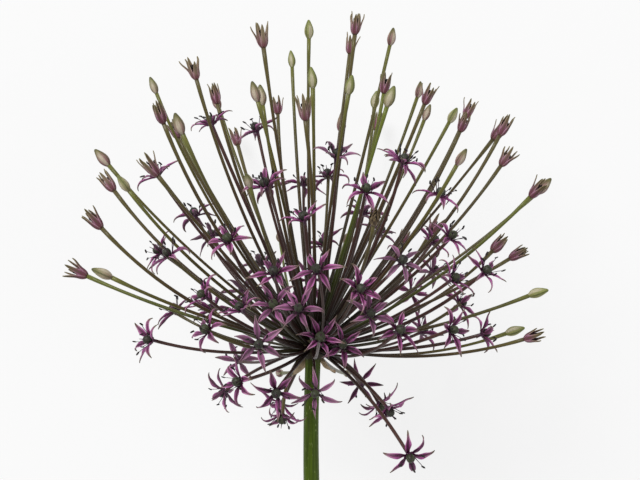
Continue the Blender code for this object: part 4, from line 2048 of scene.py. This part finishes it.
@dataclass
class Sheath:
    """The papery remains of the sheath, bent back below the knob."""

    valves: tuple[tuple[float, float, float], ...] = ((150, 0.0130, 0.0078), (25, 0.0110, 0.0066))
    top: float = 0.0050
    gap: float = 0.6 * MM
    splay: float = 34
    splay_at_top: float = 0.3
    outline: tuple[float, float, float] = (0.34, 0.8, -1.06)
    bulge: float = 0.0012
    crease: tuple[float, float] = (420, 0.0005)  # how fine it is and how deep
    crease_grows: float = 3  # how fast it deepens below the top
    tear: tuple[float, float] = (9, 0.0016)
    tear_place: float = 0.3  # where in the noise the tear is read
    apart: tuple[float, float] = (7.0, 5.0)  # how far apart two valves' creases and tears are read
    tones: tuple[float, float] = (0.3, 0.7)
    thickness: float = 0.25 * MM
    columns: int = 13
    steps: int = 16
    finish: SheathFinish = SheathFinish()

    def build(self, place: Vector, scape: Scape) -> None:
        """Makes the valves as one piece.

        Args:
            place: Where the knob stands.
            scape: The stem that they stand round.
        """
        skin = Skin("sheath")
        inside = scape.line[0][2] + self.gap
        for number, (angle, length, width) in enumerate(self.valves):
            turned = Matrix.Rotation(math.radians(angle), 4, "Y")
            rows, alongs = [], shares_of(self.steps)
            for down in alongs:
                half = width * sum(part * down**power for power, part in enumerate(self.outline))
                splay = math.radians(self.splay) * (self.splay_at_top + down)
                out = inside + math.sin(splay) * length * down
                low = -self.top - math.cos(splay) * length * down
                row = []
                for column in range(self.columns):
                    at = column / (self.columns - 1) - 0.5
                    flat = Vector((out + self.bulge * (0.25 - at * at), low, at * 2 * half))
                    row.append(turned @ (flat + self._wear(flat, at, down, number)))
                rows.append(row)
            skin.loft(rows, alongs, from_middle, self.tones[number], wrap=False)
        made = skin.piece(place, self.finish.paint(), "sheath", self.thickness)
        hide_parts("sheath_valve_1", "sheath_valve_2")

    def _wear(self, point: Vector, at: float, down: float, number: int) -> Vector:
        """Finds how a valve is creased, and torn at its end.

        Args:
            point: The point on the smooth valve.
            at: How far across it is, from -0.5 to 0.5.
            down: How far down the valve it is.
            number: The valve's number.

        Returns:
            How far the point has moved.
        """
        (fine, deep), (torn_fine, torn_deep) = self.crease, self.tear
        crease_apart, tear_apart = self.apart
        rough = noise.noise_vector(point * fine + Vector((number * crease_apart, 0, 0)))
        spot = Vector((at * torn_fine, number * tear_apart, self.tear_place))
        torn = noise.noise(spot) * torn_deep * down * down
        return rough * deep * min(1.0, down * self.crease_grows) + Vector((0, torn, 0))


@dataclass
class Lamp:
    """A round soft lamp that is aimed at the knob."""

    name: str
    offset: tuple[float, float, float]
    size: float
    power: float

    def hang(self, place: Vector) -> None:
        """Hangs the lamp.

        Args:
            place: Where the knob stands.
        """
        lamp = bpy.data.lights.new(self.name, "AREA")
        lamp.shape = "DISK"
        lamp.size = self.size
        lamp.energy = self.power
        hung = bpy.data.objects.new(self.name, lamp)
        hung.location = place + Vector(self.offset)
        hung.rotation_euler = (-Vector(self.offset)).to_track_quat("-Z", "Y").to_euler()
        bpy.context.scene.collection.objects.link(hung)


@dataclass
class Studio:
    """The pale surface, the soft lights and the camera, which looks straight down."""

    camera_height: float = 1.2
    sensor_width: float = 36.0
    sees_to: float = 20.0
    view_width: float = 0.320
    view_middle: tuple[float, float] = (0.0035, 0.0535)
    room_light: float = 0.40
    floor_reach: float = 4.0
    floor_grey: float = 0.14
    floor_glow: float = 0.80
    floor_shine: float = 0.2
    floor_roughness: float = 0.7
    lamps: tuple[Lamp, ...] = (
        Lamp("key", (-1.6, 1.9, 3.0), 1.7, 120.0),
        Lamp("fill", (2.4, -0.6, 2.2), 2.0, 17.0),
    )

    def build(self, place: Vector) -> None:
        """Sets the studio up round the head.

        Args:
            place: Where the knob stands.
        """
        scene = bpy.context.scene
        scene.view_settings.view_transform = "Standard"
        self._lay_floor()
        for lamp in self.lamps:
            lamp.hang(place)
        room = bpy.data.worlds.new("room")
        room.use_nodes = True
        backdrop = room.node_tree.nodes["Background"]
        backdrop.inputs["Color"].default_value = WHITE
        backdrop.inputs["Strength"].default_value = self.room_light
        scene.world = room
        self._aim_camera(place)

    def _lay_floor(self) -> None:
        """Lays the pale surface, which glows a little like a light table."""
        reach = self.floor_reach
        mesh = bpy.data.meshes.new("floor")
        corners = [(-reach, -reach, 0), (reach, -reach, 0), (reach, reach, 0), (-reach, reach, 0)]
        mesh.from_pydata(corners, [], [(0, 1, 2, 3)])
        paint = Paint("floor_paper", self.floor_shine, self.floor_roughness)
        paint.shader.inputs["Base Color"].default_value = (*[self.floor_grey] * 3, 1)
        paint.shader.inputs["Emission Color"].default_value = WHITE
        paint.shader.inputs["Emission Strength"].default_value = self.floor_glow
        mesh.materials.append(paint.material)
        floor = bpy.data.objects.new("floor", mesh)
        bpy.context.scene.collection.objects.link(floor)

    def _aim_camera(self, place: Vector) -> None:
        """Hangs the camera over the head.

        Args:
            place: Where the knob stands.
        """
        lens = bpy.data.cameras.new("camera")
        lens.sensor_width = self.sensor_width
        lens.lens = self.sensor_width * self.camera_height / self.view_width
        lens.clip_end = self.sees_to
        camera = bpy.data.objects.new("camera", lens)
        camera.location = place + Vector((*self.view_middle, self.camera_height))
        bpy.context.scene.collection.objects.link(camera)
        bpy.context.scene.camera = camera


def main() -> None:
    """Dresses the head and sets up the studio."""
    logging.basicConfig(level=logging.INFO, format="%(name)s: %(message)s")
    noise.seed_set(RULE.seed)
    scape = Scape()
    place = scape.knob_place()
    Studio().build(place)
    head = Head()
    Stalks().build(head, place)
    Knob().build(place)
    Tepals().build(head, place)
    Stamens().build(head, place)
    Ovaries().build(head, place)
    ClosedBuds().build(head, place)
    OpeningFlorets().build(head, place)
    scape.build(place)
    Sheath().build(place, scape)


if __name__ == "__main__":
    main()
